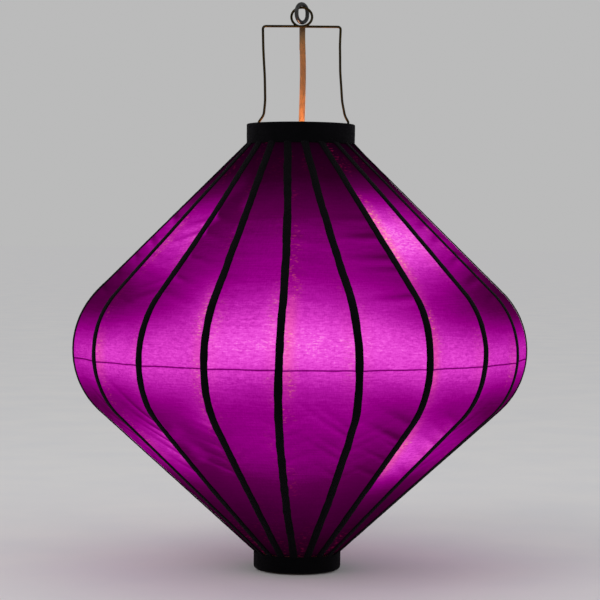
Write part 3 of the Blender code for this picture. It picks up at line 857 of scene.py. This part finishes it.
def fold_nodes():
    """The node group that every piece following the fold shares."""
    group = bpy.data.node_groups.new("follow_the_fold", "GeometryNodeTree")
    group.interface.new_socket("Geometry", in_out="INPUT", socket_type="NodeSocketGeometry")
    group.interface.new_socket("Geometry", in_out="OUTPUT", socket_type="NodeSocketGeometry")
    Fold(group).build()
    return group


FOLLOW = fold_nodes()


def keep(mesh, name, kind, values):
    """Stores one value for each point of a mesh."""
    layer = mesh.attributes.new(name, kind, "POINT")
    field = "vector" if kind == "FLOAT_VECTOR" else "value"
    layer.data.foreach_set(field, np.asarray(values, np.float32).ravel())


def follow_fold(thing, turns, points, pleat=0.0, hold=0.0, reach=0.0, span=1.0):
    """Gives a piece what its modifier reads; reach is from the nearer rib, span half the gap."""
    out, _ = directions(turns)
    keep(thing.data, "out", "FLOAT_VECTOR", out)
    keep(thing.data, "share", "FLOAT", smooth((points[:, 2] - fold_low) / (fold_high - fold_low)))
    for name, values in (("pleat", pleat), ("hold", hold), ("reach", reach), ("span", span)):
        keep(thing.data, name, "FLOAT", np.broadcast_to(np.ravel(values), (len(points),)))
    thing.modifiers.new("fold", "NODES").node_group = FOLLOW


# ---- silk gores

ROWS = 190
COLUMNS = 20
SAG = 2.4 * MM  # the stretched silk cuts the corner over the bend
HOLD_LENGTH = 8.0 * MM  # the last stretch of silk at each ring stays with the ring
CREASE_HEIGHT = 0.9 * MM
CREASES = 5  # beside each rib, above the bend and again below it

PATCH_BRIGHTNESS_SEED = 85631
EDGE_WARM_LIGHT_SEED = 30785
SLACKNESS_SEED = 1172955
SLANT_SEED = 14508

# by gore, then by flank or by edge: the brightness of the painted light patches and of the painted
# warm light by the ribs, then how the hand that stretched each gore left its creases
patch_brightness = np.random.default_rng(PATCH_BRIGHTNESS_SEED).uniform(0.75, 1.35, (RIBS, 2))
edge_warm_light = np.random.default_rng(EDGE_WARM_LIGHT_SEED).random((RIBS, 2)) ** 3
slackness = np.random.default_rng(SLACKNESS_SEED).random((RIBS, 2, 2)) ** 2
slanting = np.random.default_rng(SLANT_SEED).random((RIBS, 2, 2))
rng = np.random.default_rng(7)


def weave_map(mesh, rows, columns, along, across):
    """A UV map in metres, so that thread sizes are real ones."""
    grid = np.stack((along, across), -1).reshape(-1, 2)
    corners = np.zeros(len(mesh.loops), np.int32)
    mesh.loops.foreach_get("vertex_index", corners)
    layer = mesh.uv_layers.new(name="weave")
    layer.data.foreach_set("uv", grid[corners].astype(np.float32).ravel())


def crease_run(end, slant):
    """Where a flank's creases start, the step between them and how they head off level."""
    if end == 0:
        return outline.top_length - 4.0 * MM, -25.0 * MM, 0.04 + 0.36 * slant
    return BEND_END, 19.0 * MM, -0.45 - 0.4 * slant


def creases(i, distance, across, width):
    """Puckers that start at a rib beside the bend, run towards the waist and fade: height and slope."""
    height = np.zeros_like(across)
    slope = np.zeros_like(across)
    for edge in (0, 1):
        inward = across if edge == 0 else width - across
        for end in (0, 1):
            origin, step, heading = crease_run(end, slanting[i, edge, end])
            for k in range(CREASES):
                centre = origin + step * (k + rng.uniform(-0.25, 0.25))
                reach = rng.uniform(22.0, 38.0) * MM
                wide = rng.uniform(2.6, 4.6) * MM
                x = (distance - centre - (heading + rng.uniform(-0.05, 0.05)) * inward) / wide
                fade = bell(inward, 0.0, reach) * smooth(inward / (5.0 * MM))
                fade = fade * slackness[i, edge, end] * rng.uniform(0.45, 1.0)
                height += fade * bell(x, 0.0, 1.0)
                slope += fade * (0.75 * bell(x, 1.5, 1.3) - 1.25 * bell(x, 0.0, 1.0))
    return height * CREASE_HEIGHT, np.clip(slope, -1.3, 0.8)


def gore_points(i, left, right, across, distance, crease_height):
    """Silk stretched flat from rib to rib, then sagging over the bend and puckered by the ribs."""
    points = left[:, None] + (right - left)[:, None] * across[None, :, None]
    out, _ = directions(azimuth(i + 0.5))
    normal = np.cross(np.gradient(points, axis=1), np.gradient(points, axis=0))
    normal /= np.linalg.norm(normal, axis=2)[..., None]
    normal *= np.sign((normal @ out).mean())
    between = (4.0 * across * (1.0 - across))[None, :]
    push = crease_height - SAG * between * outline.bend_share(distance)
    push = push + 0.25 * MM * roughen(points + 3.0 * i, 26.0 * MM, 5) * between
    free = smooth(np.minimum(distance, outline.length - distance) / (20.0 * MM))
    return points + normal * (push * free * smooth(between * 6.0))[..., None]


def silk_gore(i):
    """The silk between rib i and the next, with what its material and the fold need to know."""
    down = np.linspace(-TUCK, outline.length + TUCK, ROWS)
    across = np.linspace(0.0, 1.0, COLUMNS)
    left = on_rib(i, down, np.full(ROWS, SILK_DEPTH))
    right = on_rib(i + 1, down, np.full(ROWS, SILK_DEPTH))
    width = np.linalg.norm(right - left, axis=1)[:, None] * np.ones(COLUMNS)
    away = across[None, :] * width
    distance = down[:, None] * np.ones(COLUMNS)
    crease_height, crease_slope = creases(i, distance, away, width)
    flat = gore_points(i, left, right, across, distance, crease_height).reshape(-1, 3)

    faces = []
    for r in range(ROWS - 1):
        for c in range(COLUMNS - 1):
            a = r * COLUMNS + c
            faces.append((a, a + COLUMNS, a + COLUMNS + 1, a + 1))
    mesh = mesh_of(f"silk_gore_{i:02d}", flat, faces)
    weave_map(mesh, ROWS, COLUMNS, distance, away)
    thing = piece(f"silk_gore_{i:02d}", mesh, "base", SILK)

    turns = azimuth(i) + across * TURN / RIBS
    inner = np.clip((away - GLUED) / (width - 2.0 * GLUED), 0.0, 1.0)
    pleat = 0.5 - 0.5 * np.cos(TURN * PLEATS * inner)
    reach = np.where(across[None, :] < 0.5, away, away - width)
    hold = 1.0 - smooth(np.minimum(distance, outline.length - distance) / HOLD_LENGTH)
    follow_fold(thing, np.tile(turns, ROWS), flat, pleat, hold, reach, width / 2.0)

    lower_share = smooth((distance - outline.top_length) / outline.bend_length)
    beside = [bell(inward, 7.0 * MM, 6.5 * MM) for inward in (away, width - away)]
    keep(mesh, "rest_height", "FLOAT", flat[:, 2])
    # painted light: each flank's patch brightness, and the painted warm light beside the ribs
    keep(mesh, "patch_brightness", "FLOAT", patch_brightness[i, 0] * (1.0 - lower_share) + patch_brightness[i, 1] * lower_share)
    keep(mesh, "pucker", "FLOAT", crease_slope)
    keep(mesh, "warm_glow", "FLOAT", edge_warm_light[i, 0] * beside[0] + edge_warm_light[i, 1] * beside[1])
    keep(mesh, "shift", "FLOAT_VECTOR", np.tile((0.0, 0.0, 3.7 * i + 1.3), (len(flat), 1)))
    thick = thing.modifiers.new("thickness", "SOLIDIFY")
    thick.thickness = SILK_THICKNESS
    thick.offset = -1.0
    return thing


for i in range(RIBS):
    gore = silk_gore(i)
    if i == 0:
        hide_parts("silk_cover")


# ---- braids and ribs


def strip_on_rib(name, i, down, section):
    """A solid strip along rib i. Section gives rows of (across, depth) corners for the distances."""
    across, depth = section(down)
    along = down[:, None] * np.ones(across.shape[1])
    mesh = loft(name, on_rib(i, along, depth, across))
    steps = np.hypot(np.diff(across, axis=1, prepend=0.0), np.diff(depth, axis=1, prepend=0.0))
    weave_map(mesh, len(down), across.shape[1], along, np.cumsum(steps, axis=1))
    return mesh


def braid_section(i):
    """A low crowned section whose edges wander and whose pile is uneven."""
    def section(down):
        turn = np.linspace(0.0, math.pi, 11)
        top = np.stack((-np.cos(turn), np.sin(turn) ** 0.7), 1)
        shape = np.vstack((top, ((0.5, -0.02), (-0.5, -0.02))))
        along = np.stack((down, np.full_like(down, 0.07 * i), np.zeros_like(down)), 1)
        sway = 0.35 * MM * roughen(along, 22.0 * MM, 11) + 0.12 * MM * roughen(along, 6.0 * MM, 12)
        half = BRAID_WIDTH / 2.0 + 0.25 * MM * roughen(along, 9.0 * MM, 13)
        across = sway[:, None] + half[:, None] * shape[None, :, 0]
        spots = np.stack((down[:, None] * np.ones(len(shape)), across, np.full_like(across, 0.05 * i)), 2)
        pile = 0.12 * MM * roughen(spots, 0.9 * MM, 14) + 0.10 * MM * roughen(spots, 3.0 * MM, 15)
        edge = abs(shape[None, :, 0]) > 0.9
        across = across + np.where(edge, 0.16 * MM * roughen(spots, 1.3 * MM, 16), 0.0)
        crown = shape[None, :, 1]
        depth = BRAID_DEPTH - (BRAID_DEPTH - 0.1 * MM) * crown - pile * (crown > 0.3)
        return across, depth
    return section


def rib_section(down):
    """Bamboo: flat with eased edges over the bend, narrower and thicker in the tongues at both ends."""
    eased = soften(((-0.5, 0.0), (0.5, 0.0), (0.5, 1.0), (-0.5, 1.0)), 0.16, 3, closed=True)
    shape = np.array(eased)
    into_top = smooth((14.0 * MM - down) / (12.0 * MM))
    into_bottom = smooth((down - outline.length + 14.0 * MM) / (12.0 * MM))
    tongue = np.maximum(into_top, into_bottom)
    width = RIB_WIDTH + (TONGUE_WIDTH - RIB_WIDTH) * tongue
    thick = RIB_THICKNESS + (TONGUE_THICKNESS - RIB_THICKNESS) * tongue
    for knot in KNOTS:
        width = width + 0.4 * MM * bell(down, knot * outline.length, 3.0 * MM)
    across = width[:, None] * shape[None, :, 0]
    depth = RIB_DEPTH + thick[:, None] * shape[None, :, 1]
    return across, depth


KNOTS = (0.31, 0.78)  # where the bamboo's knots are, as shares of the way down
TOP_TONGUE = 9.4 * MM  # how far a rib's end runs on past the silk, into the ring
BOTTOM_TONGUE = 11.7 * MM

for i in range(RIBS):
    lower, upper = f"rib_{i:02d}_lower", f"rib_{i:02d}_upper"
    cloth = np.linspace(-TUCK, outline.length + TUCK, 380)
    mesh = strip_on_rib(f"braid_{i:02d}", i, cloth, braid_section(i))
    braid = piece(f"braid_{i:02d}", mesh, None, BRAID)
    if i == 0:
        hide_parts("rib_braids")
    reach = np.linspace(-TOP_TONGUE, outline.length + BOTTOM_TONGUE, 130)
    mesh = strip_on_rib(f"bamboo_rib_{i:02d}", i, reach, rib_section)
    rib = piece(f"bamboo_rib_{i:02d}", mesh, None, BAMBOO, (lower, upper))
    for thing in (braid, rib):
        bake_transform(thing)


def waist_thread():
    """A thread pulled round inside the ribs at the waist."""
    height = (thread_low.z + thread_high.z) / 2.0
    depth = 5.8 * MM
    inside = BEND_RADIUS - depth
    radius = outline.centre[0] + math.sqrt(inside ** 2 - (height - outline.centre[1]) ** 2) - 0.7 * MM
    corners = [radius * directions(azimuth(i))[0] + height * UP for i in range(RIBS)]
    path = respaced(corners, 4.0 * MM, closed=True)
    mesh = sweep("waist_thread_line", path, circle(0.5 * MM, 8), closed=True)
    thing = piece("waist_thread_line", mesh, "base", THREAD, ("waist_thread",))
    points = np.array([tuple(v.co) for v in mesh.vertices])
    turns = np.repeat(np.arctan2(path[:, 1], path[:, 0]), 8)
    follow_fold(thing, turns, points)


waist_thread()


# ---- rings and their bands


def respaced_profile(profile, step):
    """A closed profile walked at even steps."""
    path = np.array([(p[0], 0.0, p[1]) for p in profile])
    return respaced(path, step, closed=True)[:, (0, 2)]


def band(name, profile, body, replaced, lap_at):
    """A velvet ribbon glued round a ring, with an uneven pile and a lapped end."""
    def shift(rings, turn):
        out, _ = directions(turn)
        pile = 0.14 * MM * roughen(rings, 0.9 * MM, 21) + 0.12 * MM * roughen(rings, 6.0 * MM, 22)
        sideways = np.linalg.norm(rings[..., :2], axis=2)
        outer = smooth((sideways - sideways.min() - 0.3 * MM) / (0.6 * MM))
        away = (turn - lap_at + math.pi) % (TURN) - math.pi
        lap = 0.5 * MM * smooth(away / 0.02) * smooth((0.16 - away) / 0.16)
        return rings + out[:, None] * ((pile + lap[:, None]) * outer)[..., None]
    mesh = spun(name, respaced_profile(profile, 0.8 * MM), 300, shift)
    return piece(name, mesh, body, BAND, (replaced,))


BAND_LIP = 1.1 * MM  # the ribbon hangs this far below the ring, over the cloth's edge
TURN_IN = 2.6 * MM  # and is turned in this far over the ring's top


def top_band():
    bore = top_band_high.x - BAND_THICKNESS
    ring_top = top_ring_high.z + 0.2 * MM
    profile = (
        (bore, top_band_low.z - BAND_LIP),
        (top_band_high.x - 0.1 * MM, top_band_low.z - BAND_LIP),
        (top_band_high.x, top_band_high.z),
        (bore - TURN_IN, top_band_high.z),
        (bore - TURN_IN, ring_top),
        (bore, ring_top),
    )
    band("top_band_velvet", soften(profile, 0.9 * MM, 5, closed=True), "top_ring", "top_ring_band",
         math.radians(150.0))


def bottom_band():
    """The lower ribbon, which follows the ring's rounded corner in underneath."""
    radius = bottom_band_high.x
    corner = 4.4 * MM
    wall = 1.1 * MM
    outside = []
    inside = []
    for k in range(7):
        dip = math.radians(52.0) * k / 6.0
        r = radius - corner + corner * math.cos(dip)
        z = corner * (1.0 - math.sin(dip)) - 0.15 * MM
        outside.append((r, z))
        inside.append((r - wall * math.cos(dip), z + wall * math.sin(dip)))
    top = bottom_band_high.z
    profile = [(radius, top), *outside, *inside[::-1], (radius - wall, top)]
    band("bottom_band_velvet", soften(profile, 0.5 * MM, 3, closed=True), "base", "bottom_ring_band",
         math.radians(95.0))


top_band()
bottom_band()


def slot_blocks(pivot, set_left, low, high):
    """A block for every rib's tongue: corners and faces."""
    points = []
    faces = []
    half = TONGUE_WIDTH / 2.0 + 0.35 * MM
    for i in range(RIBS):
        out, side = directions(azimuth(i))
        first = len(points)
        for z in (low, high):
            for r, s in ((-1.0, -1.0), (1.0, -1.0), (1.0, 1.0), (-1.0, 1.0)):
                radius = pivot - 2.6 * MM if r < 0 else pivot + 25.0 * MM
                points.append(radius * out + (s * half - set_left) * side + z * UP)
        for face in ((3, 2, 1, 0), (4, 5, 6, 7), (0, 1, 5, 4), (1, 2, 6, 5), (2, 3, 7, 6), (3, 0, 4, 7)):
            faces.append(tuple(first + k for k in face))
    return points, faces


def slotted_ring(name, profile, slots, body, replaced):
    """A turned wooden ring with a slot for every rib's tongue."""
    ring = in_scene(name + "_blank", spun(name + "_blank", profile, 160))
    cutter = in_scene(name + "_slots", mesh_of(name + "_slots", *slots, False))
    cut = ring.modifiers.new("slots", "BOOLEAN")
    cut.operation = "DIFFERENCE"
    cut.object = cutter
    bpy.context.view_layer.update()
    graph = bpy.context.evaluated_depsgraph_get()
    mesh = bpy.data.meshes.new_from_object(ring.evaluated_get(graph))
    mesh.name = name
    bpy.data.objects.remove(ring)
    bpy.data.objects.remove(cutter)
    mesh.set_sharp_from_angle(angle=math.radians(35.0))
    return piece(name, mesh, body, WOOD, (replaced,))


TOP_HOLE = 40.5 * MM
BOTTOM_HOLE = 27.0 * MM
SLOT_ABOVE = 2.7 * MM  # a slot reaches this far past its pivot wire
SLOT_OPEN = 5.0 * MM  # and this far out of the ring's open side
TOP_SET = 9.3 * MM  # the upper slots stand round with the twisted rib ends


def wooden_rings():
    low, high = top_ring_low.z, top_ring_high.z
    profile = ((TOP_HOLE, low), (top_ring_high.x, low), (top_ring_high.x, high), (TOP_HOLE, high))
    slots = slot_blocks(RING_PIVOT[0], TOP_SET, low - SLOT_OPEN, RING_PIVOT[1] + SLOT_ABOVE)
    slotted_ring("top_ring_wood", soften(profile, 1.2 * MM, 4, closed=True), slots, "top_ring", "top_ring")

    radius, high = bottom_ring_high.x, bottom_ring_high.z
    profile = ((BOTTOM_HOLE, 0.0), (radius, 0.0), (radius, high), (BOTTOM_HOLE, high))
    slots = slot_blocks(FOOT[0], 0.0, FOOT[1] - SLOT_ABOVE, high + SLOT_OPEN)
    slotted_ring("bottom_ring_wood", soften(profile, 3.6 * MM, 6, closed=True), slots, "base", "bottom_ring")


wooden_rings()


def pivot_wire(name, radius, height, body):
    """A ring of wire that the ribs turn on."""
    path = [radius * directions(TURN * k / 160)[0] + height * UP for k in range(160)]
    mesh = sweep(name + "_line", path, circle(0.5 * MM, 8), closed=True)
    piece(name + "_line", mesh, body, PIN, (name,))


pivot_wire("top_rib_wire", RING_PIVOT[0] + 0.9 * MM, RING_PIVOT[1], "top_ring")
pivot_wire("bottom_rib_wire", FOOT[0], FOOT[1], "base")


# ---- hanger and link

WIRE = 1.25 * MM
EYE_RADIUS = 9.4 * MM
EYE_REACH = 10.4 * MM  # the eye is a little wider than it is tall
LEG_SHARP = 3.2 * MM  # the legs' corners are bent about this tightly
half_lap = WIRE + 0.15 * MM  # the wire passes itself at the foot of the eye
bar = hanger_high.z - WIRE - 2.0 * EYE_RADIUS
shoulder = top_ring_high.z + 0.3 * MM + WIRE


def leg(side, kink_reach, upper):
    """One hand-bent leg from its foot in the bottom ring to the bar's end."""
    through = TOP_HOLE - WIRE - 0.4 * MM
    outline_points = [
        (33.0 * MM, 7.0 * MM),
        (23.0 * MM, 7.0 * MM),
        (22.6 * MM, 12.0 * MM),
        (through - 2.5 * MM, top_ring_low.z - 30.0 * MM),
        (through, top_ring_low.z - 4.0 * MM),
        (through, shoulder - 1.6 * MM),
        (kink_reach, shoulder + 0.2 * MM),
        *((x, shoulder + rise) for x, rise in upper),
        (39.0 * MM, bar),
    ]
    path = [np.array((side * x, 0.0, z)) for x, z in outline_points]
    path[-1][1] = side * half_lap
    return path


def bent_hanger():
    """One wire: up the left leg, along the bar, once round the eye, and down the right leg."""
    left_leg = leg(-1.0, 42.8 * MM, ((37.0 * MM, 8.5 * MM), (35.9 * MM, 22.0 * MM),
                                     (36.6 * MM, 48.0 * MM), (38.3 * MM, 76.0 * MM)))
    right_leg = leg(1.0, 48.2 * MM, ((43.6 * MM, 8.0 * MM), (40.8 * MM, 22.0 * MM),
                                     (38.6 * MM, 52.0 * MM), (38.2 * MM, 78.0 * MM)))
    eye = []
    for k in range(41):
        turn = -math.pi / 2.0 + TURN * k / 40
        rise = EYE_RADIUS + EYE_RADIUS * math.sin(turn)
        eye.append(np.array((EYE_REACH * math.cos(turn), half_lap * (k / 20.0 - 1.0), bar + rise)))
    up = soften(left_leg + [eye[0]], LEG_SHARP, 6)
    back = soften([eye[-1]] + right_leg[::-1], LEG_SHARP, 6)
    path = respaced(up[:-1] + eye + back[1:], 1.3 * MM)
    wobble = roughen(path, 30.0 * MM, 31)[:, None] * np.array((0.25, 0.35, 0.0)) * MM
    mesh = sweep("hanger_wire_bent", path + wobble, circle(WIRE, 12))
    piece("hanger_wire_bent", mesh, "base", HANGER, ("wire_hanger",))


LINK_WIRE = 2.0 * MM
LINK_BOW = 8.2 * MM  # radius of its rounded ends
LINK_TURN = math.radians(50.0)  # round from the bar


def oval_link():
    """A welded oval link, standing in the eye."""
    across = np.array((math.cos(LINK_TURN), math.sin(LINK_TURN), 0.0)) * LINK_BOW
    flat = (link_high.z - link_low.z) / 2.0 - LINK_WIRE - LINK_BOW
    middle = (link_low.z + link_high.z) / 2.0
    path = []
    for k in range(72):
        turn = TURN * (k + 0.5) / 72
        rise = math.copysign(flat, math.sin(turn)) + LINK_BOW * math.sin(turn)
        path.append(across * math.cos(turn) + (middle + rise) * UP)
    mesh = sweep("oval_link", respaced(path, 0.9 * MM, closed=True), circle(LINK_WIRE, 16), closed=True)
    piece("oval_link", mesh, "link", PAINT, ("hook_link",))


bent_hanger()
oval_link()


# ---- lamp


CORD_STEP = 1.2 * MM
CORD_SIDES = 28


def cord_path():
    """Up from the holder, swaying a little, then over the bar and a short way down behind."""
    low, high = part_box("lamp_cord")
    turn_radius = 3.45 * MM
    loop = high.y / 2.0 + 1.45 * MM
    path = [(0.0, 0.0, low.z), (0.0, 0.0, low.z + 60.0 * MM), (0.2 * MM, 0.3 * MM, 425.8 * MM),
            (1.2 * MM, 1.8 * MM, 470.0 * MM), (1.6 * MM, 2.6 * MM, 500.0 * MM),
            (0.6 * MM, high.y - 12.8 * MM, bar - 14.0 * MM)]
    for k in range(9):
        turn = math.pi * k / 8.0
        behind = loop - turn_radius * math.cos(turn)
        path.append((0.4 * MM, behind, bar - 3.0 * MM + turn_radius * math.sin(turn)))
    path.append((0.4 * MM, loop + turn_radius, low.z + 196.0 * MM))
    return respaced(soften(path, 18.0 * MM, 8), CORD_STEP)


def lamp_cord():
    """A twin cord in a cotton braid: flat and slowly twisting."""
    path = cord_path()
    turn = np.arange(CORD_SIDES) * TURN / CORD_SIDES
    thick = (1.25 + 0.35 * np.cos(2.0 * turn) ** 2) * MM
    lobes = np.stack((3.0 * MM * np.cos(turn), thick * np.sin(turn)), 1)
    run = np.arange(len(path)) * CORD_STEP
    twist = math.radians(90.0) + 0.3 * np.sin(run / (52.0 * MM)) * smooth(run / (60.0 * MM))
    mesh = sweep("twin_cord", path, lobes, turns=twist)
    along = run[:, None] * np.ones(CORD_SIDES)
    around = np.ones(len(run))[:, None] * (np.arange(CORD_SIDES) * 0.6 * MM)
    weave_map(mesh, len(run), CORD_SIDES, along, around)
    piece("twin_cord", mesh, "base", CORD, ("lamp_cord",))


lamp_cord()


def turned_piece(name, profile, ease, body, look, replaced, steps=96, shift=None):
    """A turned lamp part with eased edges."""
    mesh = spun(name, soften(profile, ease, 4, closed=True), steps, shift)
    return piece(name, mesh, body, look, (replaced,))


def grip_ribs(rings, turn):
    """Moulded grip ribs round the widest part."""
    radius = np.linalg.norm(rings[..., :2], axis=2)
    out, _ = directions(turn)
    wide = smooth((radius - 13.4 * MM) / (0.5 * MM))
    groove = -0.35 * MM * (0.5 + 0.5 * np.cos(24.0 * turn))
    return rings + out[:, None] * (groove[:, None] * wide)[..., None]


cap_low, cap_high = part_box("lampholder_cap")
turned_piece("holder_cap", [
    (3.2 * MM, cap_high.z), (6.0 * MM, cap_high.z), (7.5 * MM, cap_high.z - 8.0 * MM),
    (13.9 * MM, cap_high.z - 17.0 * MM), (13.9 * MM, cap_low.z), (12.2 * MM, cap_low.z),
    (12.2 * MM, cap_high.z - 18.0 * MM), (3.2 * MM, cap_high.z - 10.0 * MM),
], 1.2 * MM, "base", PLASTIC, "lampholder_cap", 192, grip_ribs)
shell_low, shell_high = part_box("lampholder_shell")
turned_piece("holder_shell", [
    (0.3 * MM, shell_high.z), (13.9 * MM, shell_high.z), (13.9 * MM, shell_high.z - 6.0 * MM),
    (12.6 * MM, shell_high.z - 8.0 * MM), (12.2 * MM, shell_low.z), (8.0 * MM, shell_low.z),
    (8.0 * MM, shell_high.z - 4.0 * MM), (0.3 * MM, shell_high.z - 4.0 * MM),
], 0.8 * MM, "base", PLASTIC, "lampholder_shell", 192, grip_ribs)
contact_low, contact_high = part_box("lampholder_contact")
turned_piece("holder_contact", [
    (0.2 * MM, contact_high.z), (4.0 * MM, contact_high.z),
    (4.0 * MM, contact_low.z), (0.2 * MM, contact_low.z),
], 0.2 * MM, "base", BRASS, "lampholder_contact")
tip_low, tip_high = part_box("bulb_contact")
turned_piece("bulb_tip", [
    (0.1 * MM, tip_high.z), (1.6 * MM, tip_high.z), (2.6 * MM, tip_low.z), (0.1 * MM, tip_low.z),
], 0.5 * MM, "bulb", BRASS, "bulb_contact")


def threads(rings, turn):
    """A rolled screw thread round the bulb's cap."""
    radius = np.linalg.norm(rings[..., :2], axis=2)
    out, _ = directions(turn)
    pitch = 3.2 * MM
    wave = np.cos(TURN * rings[..., 2] / pitch - turn[:, None])
    wall = smooth((radius - 6.2 * MM) / (0.4 * MM))
    return rings + out[:, None] * (-0.25 * MM * (1.0 - wave) * wall)[..., None]


screw_low, screw_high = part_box("bulb_cap")
cap_profile = respaced_profile([
    (0.2 * MM, screw_high.z), (3.0 * MM, screw_high.z), (7.0 * MM, screw_high.z - 3.0 * MM),
    (7.0 * MM, screw_low.z), (6.6 * MM, screw_low.z), (6.6 * MM, screw_high.z - 3.4 * MM),
    (2.8 * MM, screw_high.z - 0.6 * MM), (0.2 * MM, screw_high.z - 0.6 * MM),
], 0.5 * MM)
screw = spun("bulb_screw", cap_profile, 96, threads)
piece("bulb_screw", screw, "bulb", NICKEL, ("bulb_cap",))

globe_radius = bulb_high.x
globe_centre = bulb_low.z + globe_radius
outside = []
inside = []
for k in range(25):
    turn = math.radians(-89.0 + 147.0 * k / 24)
    for wall, radius in ((outside, globe_radius), (inside, globe_radius - 0.9 * MM)):
        wall.append((radius * math.cos(turn), globe_centre + radius * math.sin(turn)))
neck = [(6.2 * MM, bulb_high.z - 9.0 * MM), (6.2 * MM, bulb_high.z)]
throat = [(5.3 * MM, bulb_high.z - 9.2 * MM), (5.3 * MM, bulb_high.z)]
globe = spun("bulb_glass_globe", soften(outside + neck + throat[::-1] + inside[::-1], 0.4 * MM, 2), 96)
piece("bulb_glass_globe", globe, "bulb", GLASS, ("bulb_globe",))


# ---- stage, light and camera


def lamp(name, kind, place, power, colour=(1.0, 1.0, 1.0), size=0.1, aim=None):
    """A light; an area light is aimed at a point."""
    data = bpy.data.lights.new(name, kind)
    data.energy = power
    data.color = colour
    if kind == "AREA":
        data.shape = "DISK"
        data.size = size
    else:
        data.shadow_soft_size = size
    thing = in_scene(name, data)
    thing.location = place
    if aim is not None:
        thing.rotation_mode = "QUATERNION"
        thing.rotation_quaternion = (Vector(aim) - Vector(place)).to_track_quat("-Z", "Y")


FLOOR_PALENESS = 0.80
ROOM_LIGHT = 0.62

FLOOR_REACH = 60.0
FLOOR_DROP = 0.3 * MM  # it lies just under the bottom ring
quarters = ((-1, -1), (1, -1), (1, 1), (-1, 1))
corners = [(x * FLOOR_REACH, y * FLOOR_REACH, -FLOOR_DROP) for x, y in quarters]
floor_mesh = mesh_of("floor", corners, [(0, 1, 2, 3)], False)
floor = in_scene("floor", floor_mesh)
paper = Surface("floor_paper", Roughness=0.9, Specular_IOR_Level=0.0)
mottle = paper.noise(paper.place(), 8.0, 3.0)
paper.colour(mottle, (0.3, 0xE4E4E6), (0.7, 0xE9E8E8))
floor_mesh.materials.append(paper.material)

world = bpy.data.worlds.new("room")
bpy.context.scene.world = world
world.use_nodes = True
room = Tree(world.node_tree)
ray = room.put("ShaderNodeLightPath")
seen = ROOM_LIGHT * FLOOR_PALENESS
level = room.spread(ray.outputs["Is Camera Ray"], 0.0, 1.0, ROOM_LIGHT, seen)
backdrop = room.put("ShaderNodeBackground", (1.0, 1.0, 1.0, 1.0), level)
room.put("ShaderNodeOutputWorld", backdrop.outputs[0])

lamp("key", "AREA", (-1.6, -1.9, 2.2), 16.0, (1.0, 0.97, 0.94), 1.6, (0.0, 0.0, 0.25))
lamp("fill", "AREA", (2.0, -1.4, 1.3), 6.0, (0.94, 0.96, 1.0), 1.8, (0.0, 0.0, 0.25))
lamp("bulb_light", "POINT", (0.0, 0.0, globe_centre - 6.0 * MM), 1.2, (1.0, 0.62, 0.34), 0.02)
lamp("upward_glow", "AREA", (0.0, -0.018, 0.40), 0.50, (1.0, 0.46, 0.24), 0.04, (0.0, 0.0, 1.0))

EYE_AT = (0.0342, -1.9997, 0.3320)
HALF_VIEW = math.radians(8.532)
LOOK_DOWN = math.radians(1.787)
LOOK_LEFT = math.radians(0.961)
LEAN = math.radians(0.526)  # rolls the view, as the hung lantern leans a little

camera = bpy.data.cameras.new("camera")
camera.lens = camera.sensor_width / 2.0 / math.tan(HALF_VIEW)
eye_point = in_scene("camera", camera)
eye_point.location = EYE_AT
eye_point.rotation_euler = (math.pi / 2.0 - LOOK_DOWN, 0.0, LOOK_LEFT)
eye_point.rotation_euler.rotate_axis("Z", LEAN)
bpy.context.scene.camera = eye_point
bpy.context.scene.view_settings.view_transform = "Standard"
